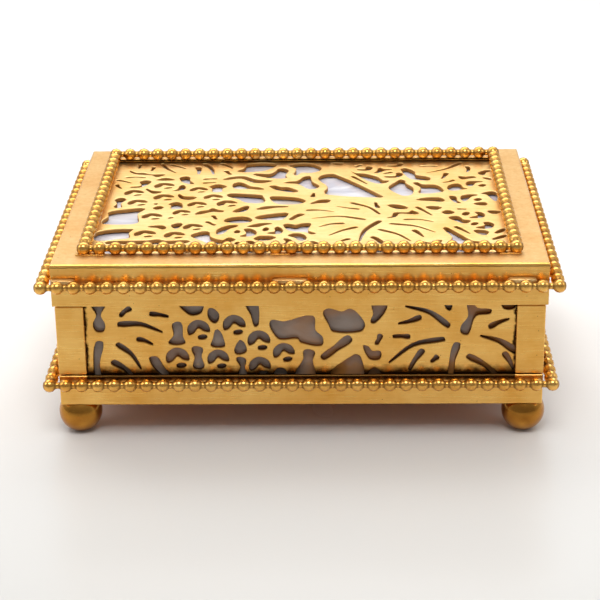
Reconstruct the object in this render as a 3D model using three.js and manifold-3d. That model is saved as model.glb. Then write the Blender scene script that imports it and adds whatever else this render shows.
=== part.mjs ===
// A hinged vanity trinket box of gilt bronze and opalescent glass, in millimetres, +Z up.
// The origin is on the table, under the middle of the box. The front looks towards -Y.
import * as THREE from 'three';
import { mergeVertices } from 'three/addons/utils/BufferGeometryUtils.js';
import Module from 'manifold-3d';

const wasm = await Module();
wasm.setup();

// ---- Driving dimensions -------------------------------------------------------------------------
const gap = 0.3;               // clearance between pieces that touch on the real box
const over = 1;                // how far a cutter runs past what it cuts
const footSides = 14;          // facets round each kind of turned piece
const footSteps = 7;
const screwSides = 8;
const hingeSides = 12;

const bodyWidth = 112;         // over the corner posts, left to right
const bodyDepth = 81.8;        // over the corner posts, front to back
const footRadius = 5.05;       // ball feet
const footFlatRadius = 1.5;    // flat that each ball stands on
const footInset = 4;            // ball centre in from the body's faces
const footHeight = 7.9;        // table to the underside of the tray
const bandHeight = 7.5;        // base band of the tray
const trayWall = 1;
const trayFloor = 1.2;
const postHeight = 17;         // corner posts, between the band and the lid's edge
const postWidth = 6.5;
const postThickness = 0.9;
const grilleThickness = 1;
const glassThickness = 2;
const grilleAbovePost = 2.3;   // how far the pierced panels rise inside the lid
const rimThickness = 0.7;
const rimSkirt = 3.9;
const panWall = 0.8;
const panHeight = 4;

const lidProud = 0.5;          // the lid's walls stand out from the posts by this
const lidHeight = 10.3;
const lidWall = 1;
const lidTop = 0.8;
const windowInset = 7.2;       // flat frame round the lid's window
const tabWidth = 7;
const tabThickness = 0.6;
const tabReach = 4;            // how far each tab turns in under the glass

const beadRadius = 1.6;
const neckRadius = 0.75;
const beadSides = 6;
const wallBeadPitch = 3.75;    // beads on the walls, before a whole number is fitted
const windowBeadPitch = 3.65;
const beadStandOff = 0.4;      // wall face to the side of the beads
const lidBeadRise = 5.5;       // lid's lower edge to the middle of its beads
const baseBeadRise = 6;        // tray's underside to the middle of its beads
const windowBeadInset = 7;

const screwRadius = 0.8;
const screwHeadRadius = 1.5;
const screwHeadHeight = 0.9;
const screwLength = 5.2;       // under the head
const screwClearance = 0.3;

const hingeWidth = 14;
const hingeOffset = 30;        // middle of each hinge from the middle of the box
const leafThickness = 0.8;
const leafDrop = 7.6;          // the body leaf's height on the back panel
const knuckleRadius = 1.3;
const pinRadius = 0.6;
const pinBoreRadius = 0.75;
const pinHeadRadius = 1;
const pinHeadHeight = 0.4;

// ---- Sizes and levels worked out from them ------------------------------------------------------
const halfW = bodyWidth / 2;
const halfD = bodyDepth / 2;
const bandTop = footHeight + bandHeight;
const floorTop = footHeight + trayFloor;
const postBottom = bandTop + gap;
const postTop = postBottom + postHeight;
const panelInset = postThickness + gap;
const glassInset = panelInset + grilleThickness + gap;
const innerInset = glassInset + glassThickness + gap;
const panelBottom = floorTop + gap;
const panelTop = postTop + grilleAbovePost;
const paneBottom = floorTop + gap + screwHeadHeight + gap;
const lidBottom = postTop + gap;
const lidLevel = lidBottom + lidHeight;
const lidHalfW = halfW + lidProud;
const lidHalfD = halfD + lidProud;
const windowHalfW = lidHalfW - windowInset;
const windowHalfD = lidHalfD - windowInset;
const lidGrilleTop = lidLevel - lidTop - gap;
const lidGlassTop = lidGrilleTop - grilleThickness - gap;
const lidGlassBottom = lidGlassTop - glassThickness;

// ---- Colours ------------------------------------------------------------------------------------
const metal = (color, roughness) => new THREE.MeshStandardMaterial({ color, roughness, metalness: 1 });
const glass = (color) => new THREE.MeshStandardMaterial({ color, roughness: 0.2, metalness: 0 });
const gilt = metal('#cf9f4e', 0.38);
const giltPierced = metal('#c59447', 0.45);
const giltBead = metal('#d8aa58', 0.25);
const brassPlain = metal('#a8843f', 0.5);
const slagDusk = glass('#6d625c');
const slagPale = glass('#cfd2dc');

// ---- Small helpers ------------------------------------------------------------------------------
const box = new THREE.Group();

function add(name, geometry, material) {
  const mesh = new THREE.Mesh(geometry, material);
  mesh.name = name;
  box.add(mesh);
  return mesh;
}

function block(x0, x1, y0, y1, z0, z1) {
  const geometry = new THREE.BoxGeometry(x1 - x0, y1 - y0, z1 - z0);
  return geometry.translate((x0 + x1) / 2, (y0 + y1) / 2, (z0 + z1) / 2);
}

function toSolid(geometry) {
  const bare = geometry.clone();
  bare.deleteAttribute('normal');
  bare.deleteAttribute('uv');
  const merged = mergeVertices(bare, 1e-4);
  return new wasm.Manifold(new wasm.Mesh({
    numProp: 3,
    vertProperties: new Float32Array(merged.attributes.position.array),
    triVerts: new Uint32Array(merged.index.array),
  }));
}

function toGeometry(solid) {
  const mesh = solid.getMesh();
  const geometry = new THREE.BufferGeometry();
  geometry.setAttribute('position', new THREE.BufferAttribute(new Float32Array(mesh.vertProperties), 3));
  geometry.setIndex(new THREE.BufferAttribute(new Uint32Array(mesh.triVerts), 1));
  geometry.computeVertexNormals();
  return geometry;
}

const cutAll = (body, tools) => tools.reduce((left, tool) => left.subtract(toSolid(tool)), toSolid(body));
const cut = (body, ...tools) => toGeometry(cutAll(body, tools));
const join = (...bodies) => toGeometry(bodies.map(toSolid).reduce((a, b) => a.add(b)));

function upright(radius, z0, z1, sides, x, y) {
  const geometry = new THREE.CylinderGeometry(radius, radius, z1 - z0, sides);
  return geometry.rotateX(Math.PI / 2).translate(x, y, (z0 + z1) / 2);
}

function along(radius, x0, x1, sides, y, z) {
  const geometry = new THREE.CylinderGeometry(radius, radius, x1 - x0, sides);
  return geometry.rotateZ(Math.PI / 2).translate((x0 + x1) / 2, y, z);
}

const corners = [['front_left', -1, -1], ['front_right', 1, -1], ['back_left', -1, 1], ['back_right', 1, 1]];

// ---- The openings of the pierced panels ---------------------------------------------------------
// Each opening is a ring of [u, v] points. A hole follows its few drawn points, a slit is a bowed
// leaf vein with one blunt end, and a berry is a crescent over a small oval.
const hole = (...uv) => [Array.from({ length: uv.length / 2 }, (_, i) => [uv[2 * i], uv[2 * i + 1]])];

function slit(u0, v0, u1, v1, bow, width, tip = 0.35) {
  const length = Math.hypot(u1 - u0, v1 - v0);
  const [du, dv] = [(u1 - u0) / length, (v1 - v0) / length];
  const at = (t, side) => {
    const out = 4 * bow * t * (1 - t) + side;
    return [u0 + du * length * t - dv * out, v0 + dv * length * t + du * out];
  };
  const w = width / 2;
  return [[at(0, w), at(0.5, w * 0.85), at(1, tip / 2), at(1, -tip / 2), at(0.5, -w * 0.85), at(0, -w)]];
}

function berry(u, v, radius = 2.6, tilt = 15) {
  const turn = THREE.MathUtils.degToRad(tilt);
  const place = (a, b) => [
    u + radius * (a * Math.cos(turn) - b * Math.sin(turn)),
    v + radius * (a * Math.sin(turn) + b * Math.cos(turn)),
  ];
  const arc = [-105, -55, 0, 55, 105].map((degrees) => {
    const angle = THREE.MathUtils.degToRad(degrees);
    return place(Math.sin(angle), Math.cos(angle));
  });
  const crescent = [...arc, place(0.5, -0.2), place(0, 0.2), place(-0.5, -0.2)];
  const oval = [0, 1, 2, 3, 4].map((i) => {
    const angle = (i * 2 * Math.PI) / 5;
    return place(0.2 + 0.44 * Math.cos(angle), -0.7 + 0.24 * Math.sin(angle));
  });
  return [crescent, oval];
}

// Drawn on a lid window of this size, from its middle: u to the right, v to the back.
const drawnLid = { width: 98.6, height: 68.4 };
const lidOpenings = [
  // left leaf, behind the cluster
  slit(-43, 33.4, -43.1, 29.8, 0, 0.8),
  slit(-39.3, 31, -39.7, 27.8, 0.1, 0.9),
  slit(-37.4, 33.6, -33.2, 26.2, -0.5, 1),
  slit(-35.2, 33, -30.8, 29.4, 0.2, 1.1),
  slit(-27.7, 30.8, -27.2, 25, 0.2, 1.3),
  slit(-26.2, 33.4, -23.3, 24.8, 0.7, 1.3),
  slit(-21.8, 33.4, -18.6, 29.4, 0.4, 1.3),
  slit(-20.3, 27.6, -18.9, 24.6, 0, 1.1, 0.7),
  hole(-45.4, 28.2, -43.6, 26.6, -41.6, 26.5, -39.4, 25.2, -36, 25.2, -36.2, 24, -37.9, 22.9,
    -39.2, 24.3, -43.6, 25.3),
  slit(-45.7, 22.5, -40.8, 22.5, 0.5, 0.9, 0.7),
  slit(-47.9, 20.6, -43.9, 18.2, 0.2, 0.9),
  slit(-47.6, 17.2, -46.1, 14, -0.2, 0.9),
  slit(-25.5, 21, -22.3, 21.3, 0.1, 1.1, 0.9),
  slit(-25.5, 18, -22.3, 18.5, 0, 1.1, 0.6),
  // left cluster
  hole(-37.8, 20.3, -36.8, 21.8, -35.3, 22.3, -33.8, 21.7, -33.1, 20.3),
  berry(-35.3, 15.9, 2.6, 20),
  berry(-42.5, 10.6, 2.5, 20),
  berry(-26.3, 12.7, 2.3, 10),
  berry(-34.7, 7.1, 2.6, 20),
  berry(-22.3, 7, 2.4, 12),
  berry(-40.9, 3.3, 2.5, 20),
  berry(-26, 1.6, 2.4, 15),
  berry(-18.6, 2.3, 2.6, 25),
  berry(-36.4, -6.7, 2.5, 15),
  berry(-29.4, -4.1, 2.2, 20),
  berry(-25.9, -14.2, 2.4, 20),
  berry(-37, -18.7, 2.6, 15),
  berry(-29.9, -19.7, 2.5, 20),
  hole(-41.9, 19.2, -40.4, 20.6, -38.9, 19.4, -39.9, 16.6, -41.4, 14.8, -43.7, 14.6, -43.8, 15.5,
    -41.8, 15.9, -41.2, 17),
  hole(-23.8, 15.2, -21.6, 17.2, -19.3, 15.2, -20.4, 13.6, -20.5, 11.2, -22.8, 11.2, -22.9, 13.6),
  hole(-46.8, 5.6, -45.4, 7.2, -44, 5.8, -45, 2.8, -44.5, 0.2, -45.6, -0.6, -46.5, 0.5, -45.9, 2.8),
  hole(-36.7, -0.4, -35.2, 1, -34.1, -0.4, -35.6, -1.9),
  hole(-36.8, 2.5, -36.2, 3.1, -35.8, 2.2, -36.3, 1.7),
  hole(-33.1, 2.2, -31.5, 3.8, -30, 3, -29.7, -1.1, -32.2, -1.1, -32.3, 0.9),
  hole(-31.2, 9.7, -29.7, 8.1, -26.7, 7.6, -26.7, 6.2, -28.4, 5.1, -30.4, 6.2),
  hole(-30.9, 16.8, -29.8, 15, -30.3, 12.7, -32.8, 12.1, -31.7, 13.6),
  hole(-39.8, 14, -38.1, 12.5, -35.6, 11.7, -36, 10.5, -37.6, 10, -38.7, 11.4),
  hole(-31.8, 22.5, -30.3, 23.6, -29.2, 22.4, -29.1, 20.2, -27.9, 17.4, -29.6, 17.6, -31.1, 19.2),
  hole(-48.2, -9.4, -47, -6.4, -47.3, -3.2, -43.2, -1.3, -38.7, -0.8, -40.1, -4.8, -39.3, -10.6,
    -41, -12, -47.6, -11.8),
  hole(-48.3, -17, -40.3, -15.1, -40.9, -18, -40.5, -21.3, -43, -22.1, -48.3, -22.8),
  hole(-45.8, -24, -44, -23.2, -36, -22.9, -33.6, -22.2, -31.6, -23.2, -26.8, -22.9, -25.9, -24,
    -28, -25.4, -45, -25.4),
  hole(-32.4, -7.7, -31.7, -7, -31, -7.6, -32.2, -8.3),
  hole(-25.7, -5.6, -25.1, -3, -23, -2.1, -22, -0.8, -20.4, -2, -19.1, -2.7, -19.5, -3.9, -21.8, -3.6),
  slit(-21.6, -6.2, -20.6, -8.9, 0, 0.9, 0.6),
  slit(-22.9, -10.4, -20.7, -13, 0, 1, 0.8),
  hole(-36.8, -13.8, -34.4, -12.8, -33, -13, -32.3, -14.7, -32.9, -15.8, -34.4, -14.7),
  hole(-31.1, -12.3, -28.7, -11.4, -29.6, -15.2, -30.7, -14.6),
  hole(-25.9, -20.4, -25.5, -18.5, -22.2, -17, -21.3, -20.6, -18.4, -22.8, -16.9, -21.2,
    -15.3, -22.7, -17, -24.8,
    -20.4, -25.8, -23, -23.6),
  hole(-19.9, -15.6, -17.8, -13.2, -15.4, -12.7, -15.3, -14, -17.2, -15.8, -18.4, -18.6, -19.8, -19.3),
  // middle, clockwise from the back left
  hole(-17.2, 26.9, -15.4, 30, -14.6, 33.4, -7.4, 33.2, -9.3, 28.2, -13, 26.6),
  hole(-13, 25.1, -8.9, 25.2, -7.4, 27, -6.1, 29.8, -4, 27.8, -4.7, 23.8, -4.3, 21.8, -6, 21.1,
    -10, 22.2),
  hole(-3.8, 31.2, -2.4, 33.3, 1.8, 33.4, 4.4, 30, 4.2, 27.4, 2, 25.6, -0.6, 25.7, -1.8, 23.6,
    -2.5, 24.6, -2, 29),
  hole(-20.4, 20.3, -19.5, 22.3, -15.4, 23.4, -12, 20.7, -7.9, 19.8, -8.3, 18.8, -10.6, 17.6,
    -12.8, 18.1, -16, 21.2),
  hole(-17.8, 17.5, -16, 18.6, -13.2, 15.5, -10.8, 14.5, -9.9, 12.6, -14, 13.3, -17.2, 13.6),
  hole(-8.6, 15.3, -7.2, 16, -5.6, 14.8, -3.6, 14.6, -1.3, 10.8, -6.2, 12),
  hole(-5, 17.7, -3.8, 18.8, -1.6, 19.4, 0.2, 22.8, 1.6, 23.3, 2.2, 19, 4.1, 15.5, 3.4, 13.4,
    1.6, 12.9, -1.4, 16.8),
  hole(3.8, 21.4, 5.2, 24.3, 8.2, 24.5, 20.1, 7.2, 19.4, 6.2, 6.4, 8.5, 5.4, 11, 6.3, 14.4, 4.2, 19.4),
  slit(12.5, 22.8, 16.3, 16.6, 0, 0.9),
  slit(2.5, 7, 2.8, 10, 0, 1),
  hole(-18.9, 9.2, -17.8, 10.1, -10.7, 8.9, -10, 8, -9.6, 3, -13.8, 3, -16, 5.6, -18.5, 7.4),
  hole(-8.2, 6.8, -7.4, 7.8, -1.2, 6.6, 0.8, 4.2, -0.2, 2.2, -3, 1.4, -6.4, 2.2),
  hole(2, 1.8, 3.4, 4.1, 4.8, 5.1, 6.9, 4.8, 6.2, 2.6, 3.8, 2.2),
  hole(-17, -3.4, -15.4, -0.8, -13.6, 0.8, -13, 0, -13.7, -3.1, -15.8, -4.2),
  hole(-11.2, -1.9, -9.8, 0, -7.6, 0.6, -3.6, 0.4, -3.5, -0.5, -6.5, -0.9, -9.6, -2.2),
  hole(-11.3, -7.8, -10.2, -6.2, -4, -4.2, -3.2, -5.2, -4.8, -9.4, -7, -9.6, -10.6, -8.9),
  hole(0.8, -5.6, -0.6, -5, -1.8, -6.4, -3, -8.9, -2.4, -9.8, -1, -7.8),
  slit(1.2, -2.7, 7.8, -3.9, 0.6, 1),
  slit(14, -2.1, 8.5, 0.1, 0.2, 0.9),
  slit(12.1, 2.6, 19, -5.8, 1.2, 1.1, 0.6),
  slit(15.3, -9.4, 2.5, -8.6, -1.9, 1.1),
  slit(10.2, -12, 4.3, -14.4, -0.7, 1.1),
  slit(13.3, -14.6, 6.7, -20.2, -0.5, 1.1),
  slit(18.9, -10.4, 13.8, -24.2, -1.2, 1.3),
  hole(-18.3, -10.9, -17.9, -8, -13.3, -7.1, -12.2, -10.8),
  hole(-15.1, -16.2, -14.4, -17.8, -15.2, -18.6, -15.9, -17.8),
  hole(-13.6, -15.6, -11.9, -15.3, -10.5, -17.8, -11, -20, -13.6, -21, -14.4, -20.3, -12.9, -18.6),
  hole(-8.4, -14.4, -7.6, -15.8, -8.4, -17.2, -9.2, -16.6),
  hole(-6.3, -15, -5.5, -14, -4.3, -16.6, -5, -19, -7.8, -18.9, -7.7, -18, -6.2, -17.3),
  hole(-12.9, -13.9, -9.8, -11.6, -7, -11.9, -8.8, -13.2, -10.6, -14.5),
  hole(-4.3, -12.8, -3.2, -12, -1.3, -12.8, 0.2, -11.8, 2.3, -11.9, 1.7, -16.6, 3.6, -18.7,
    2.6, -19.6, 1.2, -18, -2.7, -17),
  hole(-3, -20.2, -1.8, -18.7, 0.2, -18.9, 1.4, -21.4, 0.8, -23.6, -0.3, -23.6, -1.3, -21.8),
  hole(-11, -22.2, -9.6, -20.2, -5.9, -20.9, -7.2, -23.2, -9.8, -23.5),
  hole(-12.8, -23.8, -11.3, -23.6, -10.3, -25.8, -11.6, -25.8),
  hole(-14.6, -24, -13.8, -25.4, -14.8, -26.2, -15.4, -25.2),
  hole(-6, -23.3, -5, -24.4, -6, -26, -6.5, -24.8),
  hole(-4, -22.2, -2.6, -22.4, -1.8, -24.4, -2.6, -26.6, -4.3, -26.2, -3.4, -24.4),
  hole(-0.5, -26, 1.8, -24.2, 3, -23.8, 4.5, -25.6, 3.6, -26.6, 2.2, -25.2),
  slit(11.5, -22.4, 8.4, -26, -0.4, 1.1),
  // right leaf and right cluster
  hole(16.4, -21.8, 17.1, -20.8, 18.4, -22.1, 19.8, -25.6, 18.8, -26, 17.6, -23.6),
  slit(18.6, -16.3, 25.8, -24.2, 1, 1.1),
  slit(21.4, -12.4, 31.9, -18.4, 1.4, 1.1),
  slit(24.8, -9.6, 31.7, -11.2, 0.8, 0.9, 0.5),
  slit(26.8, -16.8, 28.9, -21.5, 0.1, 1.2),
  hole(20.7, -8.3, 21.9, -7.2, 22.6, -4.6, 25.9, -4.5, 27, -3.1, 28.3, -5.9, 23.8, -5.6,
    22.8, -7.7, 21, -8.7),
  slit(28.1, -0.7, 31.6, -6.8, 0.1, 1),
  hole(30.4, -0.5, 34.2, -0.8, 32.5, -3),
  hole(34.1, -4.6, 35.6, -3, 37.2, -4.6, 36.2, -6, 34.9, -6),
  slit(38.1, -2.4, 40.1, -2.5, 0, 1, 0.8),
  hole(40.5, -4.4, 40.8, -5.6, 39.8, -7.2, 38.9, -6.4, 39.4, -4.8),
  hole(42.2, -4.6, 43.8, -4.8, 44.4, -6.8, 43.6, -8.6, 40.8, -8.9, 40.8, -8, 42.7, -6.8),
  hole(35.5, -8.2, 37.8, -7.3, 39, -9.6, 40.7, -10.4, 39.4, -12.6, 37.4, -11.2),
  hole(45.3, -3.8, 48.3, -3.8, 48.3, -5, 46.6, -6.2),
  hole(40.6, -13.6, 41.1, -12, 42.3, -11.8, 42.3, -13, 41.3, -14),
  hole(43.7, -12, 45, -11.4, 46.1, -13.2, 45.4, -15.6, 43.8, -16.4, 41.8, -15.8, 41.9, -15,
    43.9, -13.8),
  slit(36.8, -14.6, 40, -19.6, 0.1, 1.1),
  hole(33.8, -15.9, 34.5, -14.9, 35.5, -16.1, 40.2, -24, 42.2, -24.9, 41.4, -26, 35.2, -25.6,
    35.7, -21.8),
  hole(41, -17.2, 44.2, -17.5, 43.9, -20.2, 42.8, -20.5),
  hole(48.3, -15.9, 48.1, -18, 46.3, -19.6, 45.8, -18.9),
  hole(48.2, -20.2, 48.2, -21.8, 45.2, -23.8, 44.9, -23),
  hole(28, -24.3, 30.4, -25.2, 31.5, -23.8, 33, -23.6, 32.9, -24.8, 30.4, -26.6),
  hole(12.1, 26.9, 13.6, 25.4, 15.9, 24.9, 18.8, 22.6, 20.5, 19.5, 21.9, 19.2, 20.8, 17.2,
    18.6, 17, 15.6, 20.4),
  hole(16.6, 30.9, 17.8, 30, 17.4, 27.8, 16, 27.1, 13.9, 27.6, 13.9, 28.4, 15.9, 28.7),
  slit(15, 31.6, 13.4, 30.2, 0, 1.1, 0.7),
  hole(18.2, 25.4, 19, 27, 19.7, 29.6, 20.8, 28.7, 23, 28, 21, 27, 19.2, 25.2),
  slit(22.8, 25.8, 20.7, 24.7, 0, 1.1, 0.7),
  hole(23.9, 25.2, 24.9, 25.6, 25.6, 23.9, 24.6, 22, 22.6, 21.3, 20.8, 21.8, 20.9, 22.6, 23.7, 23.1),
  hole(24.9, 33.4, 26, 32.8, 25.4, 30.8, 24, 30, 21.7, 30.5, 21.8, 31.3, 24.2, 31.8),
  hole(25.2, 28.1, 26.6, 29.2, 28.7, 26.2, 28.9, 23.9, 32, 22.1, 32.5, 20.2, 31.8, 19, 28, 20,
    26.9, 21.4),
  hole(24, 18.9, 25, 20.1, 26, 18.9, 26, 17.4, 27.8, 13.6, 27.4, 8.8, 26.2, 7.6, 24.8, 7.7, 21.6, 13.6),
  hole(27.9, 17.2, 29, 18, 30.2, 16.3, 33.6, 15.9, 35.1, 13, 35.1, 10.4, 29.3, 9.3, 29.8, 13.4),
  hole(36.8, 15.1, 39.3, 16.8, 40.5, 13.7, 41.5, 12.8, 40.2, 12, 37, 11.3),
  slit(34.7, 30.4, 30.2, 30.3, -0.3, 0.9, 0.6),
  slit(41.2, 33.4, 31.9, 25.2, 1, 1.2),
  slit(42.5, 30.2, 42.2, 25.6, 0.4, 1),
  slit(36.9, 25, 35.4, 20.4, 0.1, 1.1),
  slit(38.5, 19.4, 35.6, 17.5, 0.3, 1, 0.7),
  hole(39.9, 22.5, 41.6, 22, 43.6, 22.4, 44.3, 21.2, 42.4, 20.4, 40.5, 19.8),
  hole(45.9, 21.2, 47.9, 20.7, 47.7, 19.1),
  hole(41.3, 16, 42, 18.3, 44.4, 18.7, 45.8, 18, 43.8, 16.9, 43, 15, 42.1, 14.3),
  hole(44.3, 14.8, 45.5, 16.2, 46.4, 15.6, 45.3, 13.9),
  hole(48.2, 27.2, 46.6, 26.8, 45.1, 25.2, 45.3, 23.5, 46.4, 23.2, 47, 24.9, 48.2, 25.9),
  hole(44.7, 9.1, 48.2, 10.3, 48.2, 4, 47.6, 3.2, 46, 7.8),
  hole(39.3, 5.2, 39.8, 7.5, 42, 8.5, 43.8, 7.9, 42.1, 6.6, 40.9, 4.2, 40, 3.1),
  hole(42.5, 4.2, 43.6, 5.6, 44.6, 4.9, 43.4, 3.2),
  hole(36.6, 7.2, 38.1, 7, 38.4, 3.6, 39.2, 2.1, 38.4, 1.8, 37.3, 3.2),
  hole(28.2, 4.7, 33.8, 6.4, 35.3, 4.1, 34.5, 2.9, 32, 3.4),
  hole(42.4, 1.8, 44.8, 2.7, 45.6, 1.6, 45, 0, 42.6, 0.7),
  slit(18.7, -1.2, 18.1, 2.8, 0.1, 1, 0.5),
  hole(20.9, 0.6, 22, 1.4, 24.4, 0.8, 26, -1.1, 25.4, -2.2, 23.2, -2.1),
  hole(7, 33.4, 8.4, 32, 10.2, 32.4, 10.4, 33.4),
  // front strip, under the beading
  hole(-47.6, -27.1, -43.2, -27.4, -42.3, -31.5, -46.8, -32.6),
  slit(-39.4, -27.4, -34.4, -32, 0.6, 1.3),
  slit(-35, -27.3, -29.2, -31, 0.6, 1.2),
  berry(-24.4, -30.4, 2.3, 15),
  berry(-18, -29.8, 2.4, 10),
  hole(-13.9, -27.8, -11.4, -28.2, -10.6, -31.6, -13, -32.6, -14.7, -30.4),
  berry(-6.6, -30.4, 2.3, 15),
  hole(-2.4, -28.8, 0.6, -28.4, 1.4, -30.6, -0.6, -32.6, -2.8, -31.4),
  slit(6.9, -27.4, 3.6, -32.6, -0.4, 1.2),
  slit(13.2, -26.4, 11.2, -32.8, -0.4, 1.4, 0.7),
  hole(15.6, -28, 18.8, -28.4, 20.2, -32.2, 16.4, -32.7),
  slit(21.8, -27.2, 26, -32.4, 0.5, 1.2),
  slit(25.4, -27.6, 31.6, -31.6, 0.5, 1.1),
  hole(34.4, -27.8, 38.8, -28.2, 40.2, -31.2, 36.2, -32.6),
  berry(44.4, -30.2, 2.3, -15),
].flat();

// Drawn on the front panel: u from its middle to the right, v up from the table.
const drawnPanel = { width: 99, bottom: 15.8, height: 17.6 };
const panelOpenings = [
  // left leaf
  hole(-47.8, 33.7, -44.6, 33.5, -45.7, 30.6, -44.8, 28.2, -45.3, 26.5, -46.9, 26.5, -47.6, 28.2,
    -46.7, 30.6),
  slit(-38.8, 32.3, -41.2, 30.4, -0.2, 1.1, 0.8),
  slit(-34.3, 30.9, -30.2, 30.2, 0.1, 1, 0.5),
  slit(-41.7, 28.3, -31.7, 26.3, 1, 1.2),
  slit(-37.5, 24.6, -34, 23.2, 0.2, 1),
  slit(-42.2, 23.3, -37, 17, 0.8, 1.1),
  slit(-43.5, 18.8, -38.6, 14.2, 0.6, 1.3, 0.8),
  slit(-46.3, 23.7, -47, 13.8, -0.6, 1.7, 1.1),
  // grapes and the gaps between them
  hole(-27.5, 33.4, -22.3, 33.6, -22.5, 31.2, -24.6, 30.4, -26.2, 31.3),
  hole(-20.6, 32.2, -18.5, 30.7, -19.4, 28.5, -21, 29.9),
  berry(-23.3, 26.7, 2.6, 10),
  berry(-15.1, 27.9, 2.6, 10),
  berry(-9.5, 24, 2.6, 8),
  berry(-28.4, 19.6, 2.7, 8),
  berry(-19, 19.3, 2.5, 8),
  berry(-9.4, 17.4, 2.5, 8),
  berry(-3.8, 20.9, 2.5, 12),
  hole(-29.3, 28.3, -27.3, 28.6, -27, 25.2, -26.6, 23.4, -30.3, 23.4, -29.1, 25.4),
  hole(-19, 26.9, -17.4, 23.6, -17.6, 22.5, -20.5, 22.7, -20.1, 24.4),
  hole(-12.4, 33.8, -9.8, 33.9, -9.5, 28.2, -10.4, 27.6, -11.2, 30.4),
  hole(-25, 22.3, -22.6, 22.2, -22.9, 20, -22.4, 17.2, -24.8, 17.2, -24.4, 19.8),
  hole(-14, 24.1, -12.9, 23.5, -12.5, 21.2, -15.1, 20.9),
  hole(-14.8, 19.6, -12.7, 19.4, -12.9, 17, -12.4, 15, -14.3, 15.2, -13.9, 17.4),
  hole(-35, 19.6, -33.2, 20, -31.9, 17.8, -30.6, 14.6, -33.4, 16.4),
  hole(-29.8, 14, -28, 15.7, -26.2, 14),
  hole(-20.2, 14, -18.7, 15.7, -17, 14),
  hole(-5.9, 14.6, -5.6, 16.8, -3.8, 16.9, -3.2, 14.6),
  // the large gaps round the stem
  hole(-7, 28, -6.4, 29.2, -3.6, 28.8, 3, 30.2, 3.5, 26.6, 5.2, 24.8, 4.8, 22.7, 0.2, 23.5,
    -0.6, 24.5, -4.6, 24.3, -6, 25.7),
  hole(-1.2, 14.4, 3.2, 14.4, 2.8, 19, 3.3, 21.2, 0.9, 21.6, 0.7, 19.4),
  slit(11.4, 24.6, 5.1, 19.6, 0, 1.8, 1.3),
  hole(5.3, 31, 6.6, 32, 9.6, 31.2, 11.4, 31.9, 13, 31, 14.9, 28, 13.8, 26.2, 7.6, 26.2, 6.5, 28.2),
  hole(16.6, 33.3, 19.8, 33.2, 19.4, 31, 17.2, 28.4, 16.2, 28.6, 16.8, 30.6),
  slit(18.5, 25.4, 17.5, 23.1, 0.1, 1.1, 0.8),
  hole(14.5, 22.6, 15.7, 22.4, 16.6, 21.3, 18.5, 21.2, 18.4, 19.4, 17.2, 19, 15.8, 19.5),
  hole(6.8, 14.4, 12.4, 20.4, 13.9, 19.8, 14.2, 14.4),
  hole(15.8, 14.4, 16.6, 17, 18, 16.6, 18.9, 14.4),
  // right leaf
  slit(34.1, 27.6, 24.2, 32.5, -1.1, 1.2),
  slit(27.6, 29.8, 22.6, 28.2, 0.2, 1.1),
  slit(25.1, 24.9, 21.4, 25, -0.1, 1, 0.7),
  slit(33, 24.3, 20.5, 18.4, -1.7, 1.1),
  slit(28.2, 21.5, 25.2, 16.6, -0.2, 1.2, 0.6),
  slit(31.7, 19.9, 30.2, 18.5, 0, 1.1, 0.6),
  slit(36.1, 23.1, 34.8, 14.6, -0.4, 1.5, 1),
  hole(38.4, 33.8, 40.6, 32, 43.7, 31.6, 43.4, 30.6, 40.2, 30, 38.6, 25.5, 37, 25.8, 36.9, 27.5,
    38.5, 30),
  slit(43.4, 27.3, 47.8, 29.3, 0.2, 1.1),
  slit(49.6, 21.2, 41.4, 25.1, -0.7, 1.4),
  slit(47, 20.7, 49.2, 16.6, 0.2, 1.2),
  slit(38.7, 20, 45.9, 14.4, 0.6, 1.3, 0.8),
  hole(46.1, 33.5, 49.2, 33.7, 48.9, 31.9, 46.6, 31.8),
  hole(33, 33.3, 34.6, 33.4, 34.2, 31.4),
].flat();

const edgeMargin = 0.8;        // least metal between an opening and its plate's edge

// A plate in the plane of u and v, one thickness deep, with every opening that fits inside its edges.
function pierced(u0, u1, v0, v1, openings) {
  const within = (at, low, high) => at > low + edgeMargin && at < high - edgeMargin;
  const fits = ([u, v]) => within(u, u0, u1) && within(v, v0, v1);
  const punches = openings.filter((ring) => ring.every(fits)).map((ring) => {
    const outline = new THREE.Shape(ring.map((point) => new THREE.Vector2(...point)));
    return new THREE.ExtrudeGeometry(outline, { depth: 3 * grilleThickness, bevelEnabled: false })
      .translate(0, 0, -grilleThickness);
  });
  return cut(block(u0, u1, v0, v1, 0, grilleThickness), ...punches);
}

// ---- Base: tray with its band, inner pan, feet and their screws ---------------------------------
const footX = halfW - footInset;
const footY = halfD - footInset;
const footCentre = Math.sqrt(footRadius ** 2 - footFlatRadius ** 2);
const screwHoleRadius = screwRadius + screwClearance;
const trayHoles = corners.map(([, sx, sy]) =>
  upright(screwHoleRadius, footHeight - over, floorTop + over, screwSides, sx * footX, sy * footY));

add('base_tray', cut(
  block(-halfW, halfW, -halfD, halfD, footHeight, bandTop),
  block(-halfW + trayWall, halfW - trayWall, -halfD + trayWall, halfD - trayWall, floorTop, bandTop + over),
  ...trayHoles,
), gilt);

const panHalfW = halfW - innerInset;
const panHalfD = halfD - innerInset;
add('floor_pan', cut(
  block(-panHalfW, panHalfW, -panHalfD, panHalfD, paneBottom, paneBottom + panHeight),
  block(-panHalfW + panWall, panHalfW - panWall, -panHalfD + panWall, panHalfD - panWall,
    paneBottom + panWall, paneBottom + panHeight + over),
), brassPlain);

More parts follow.
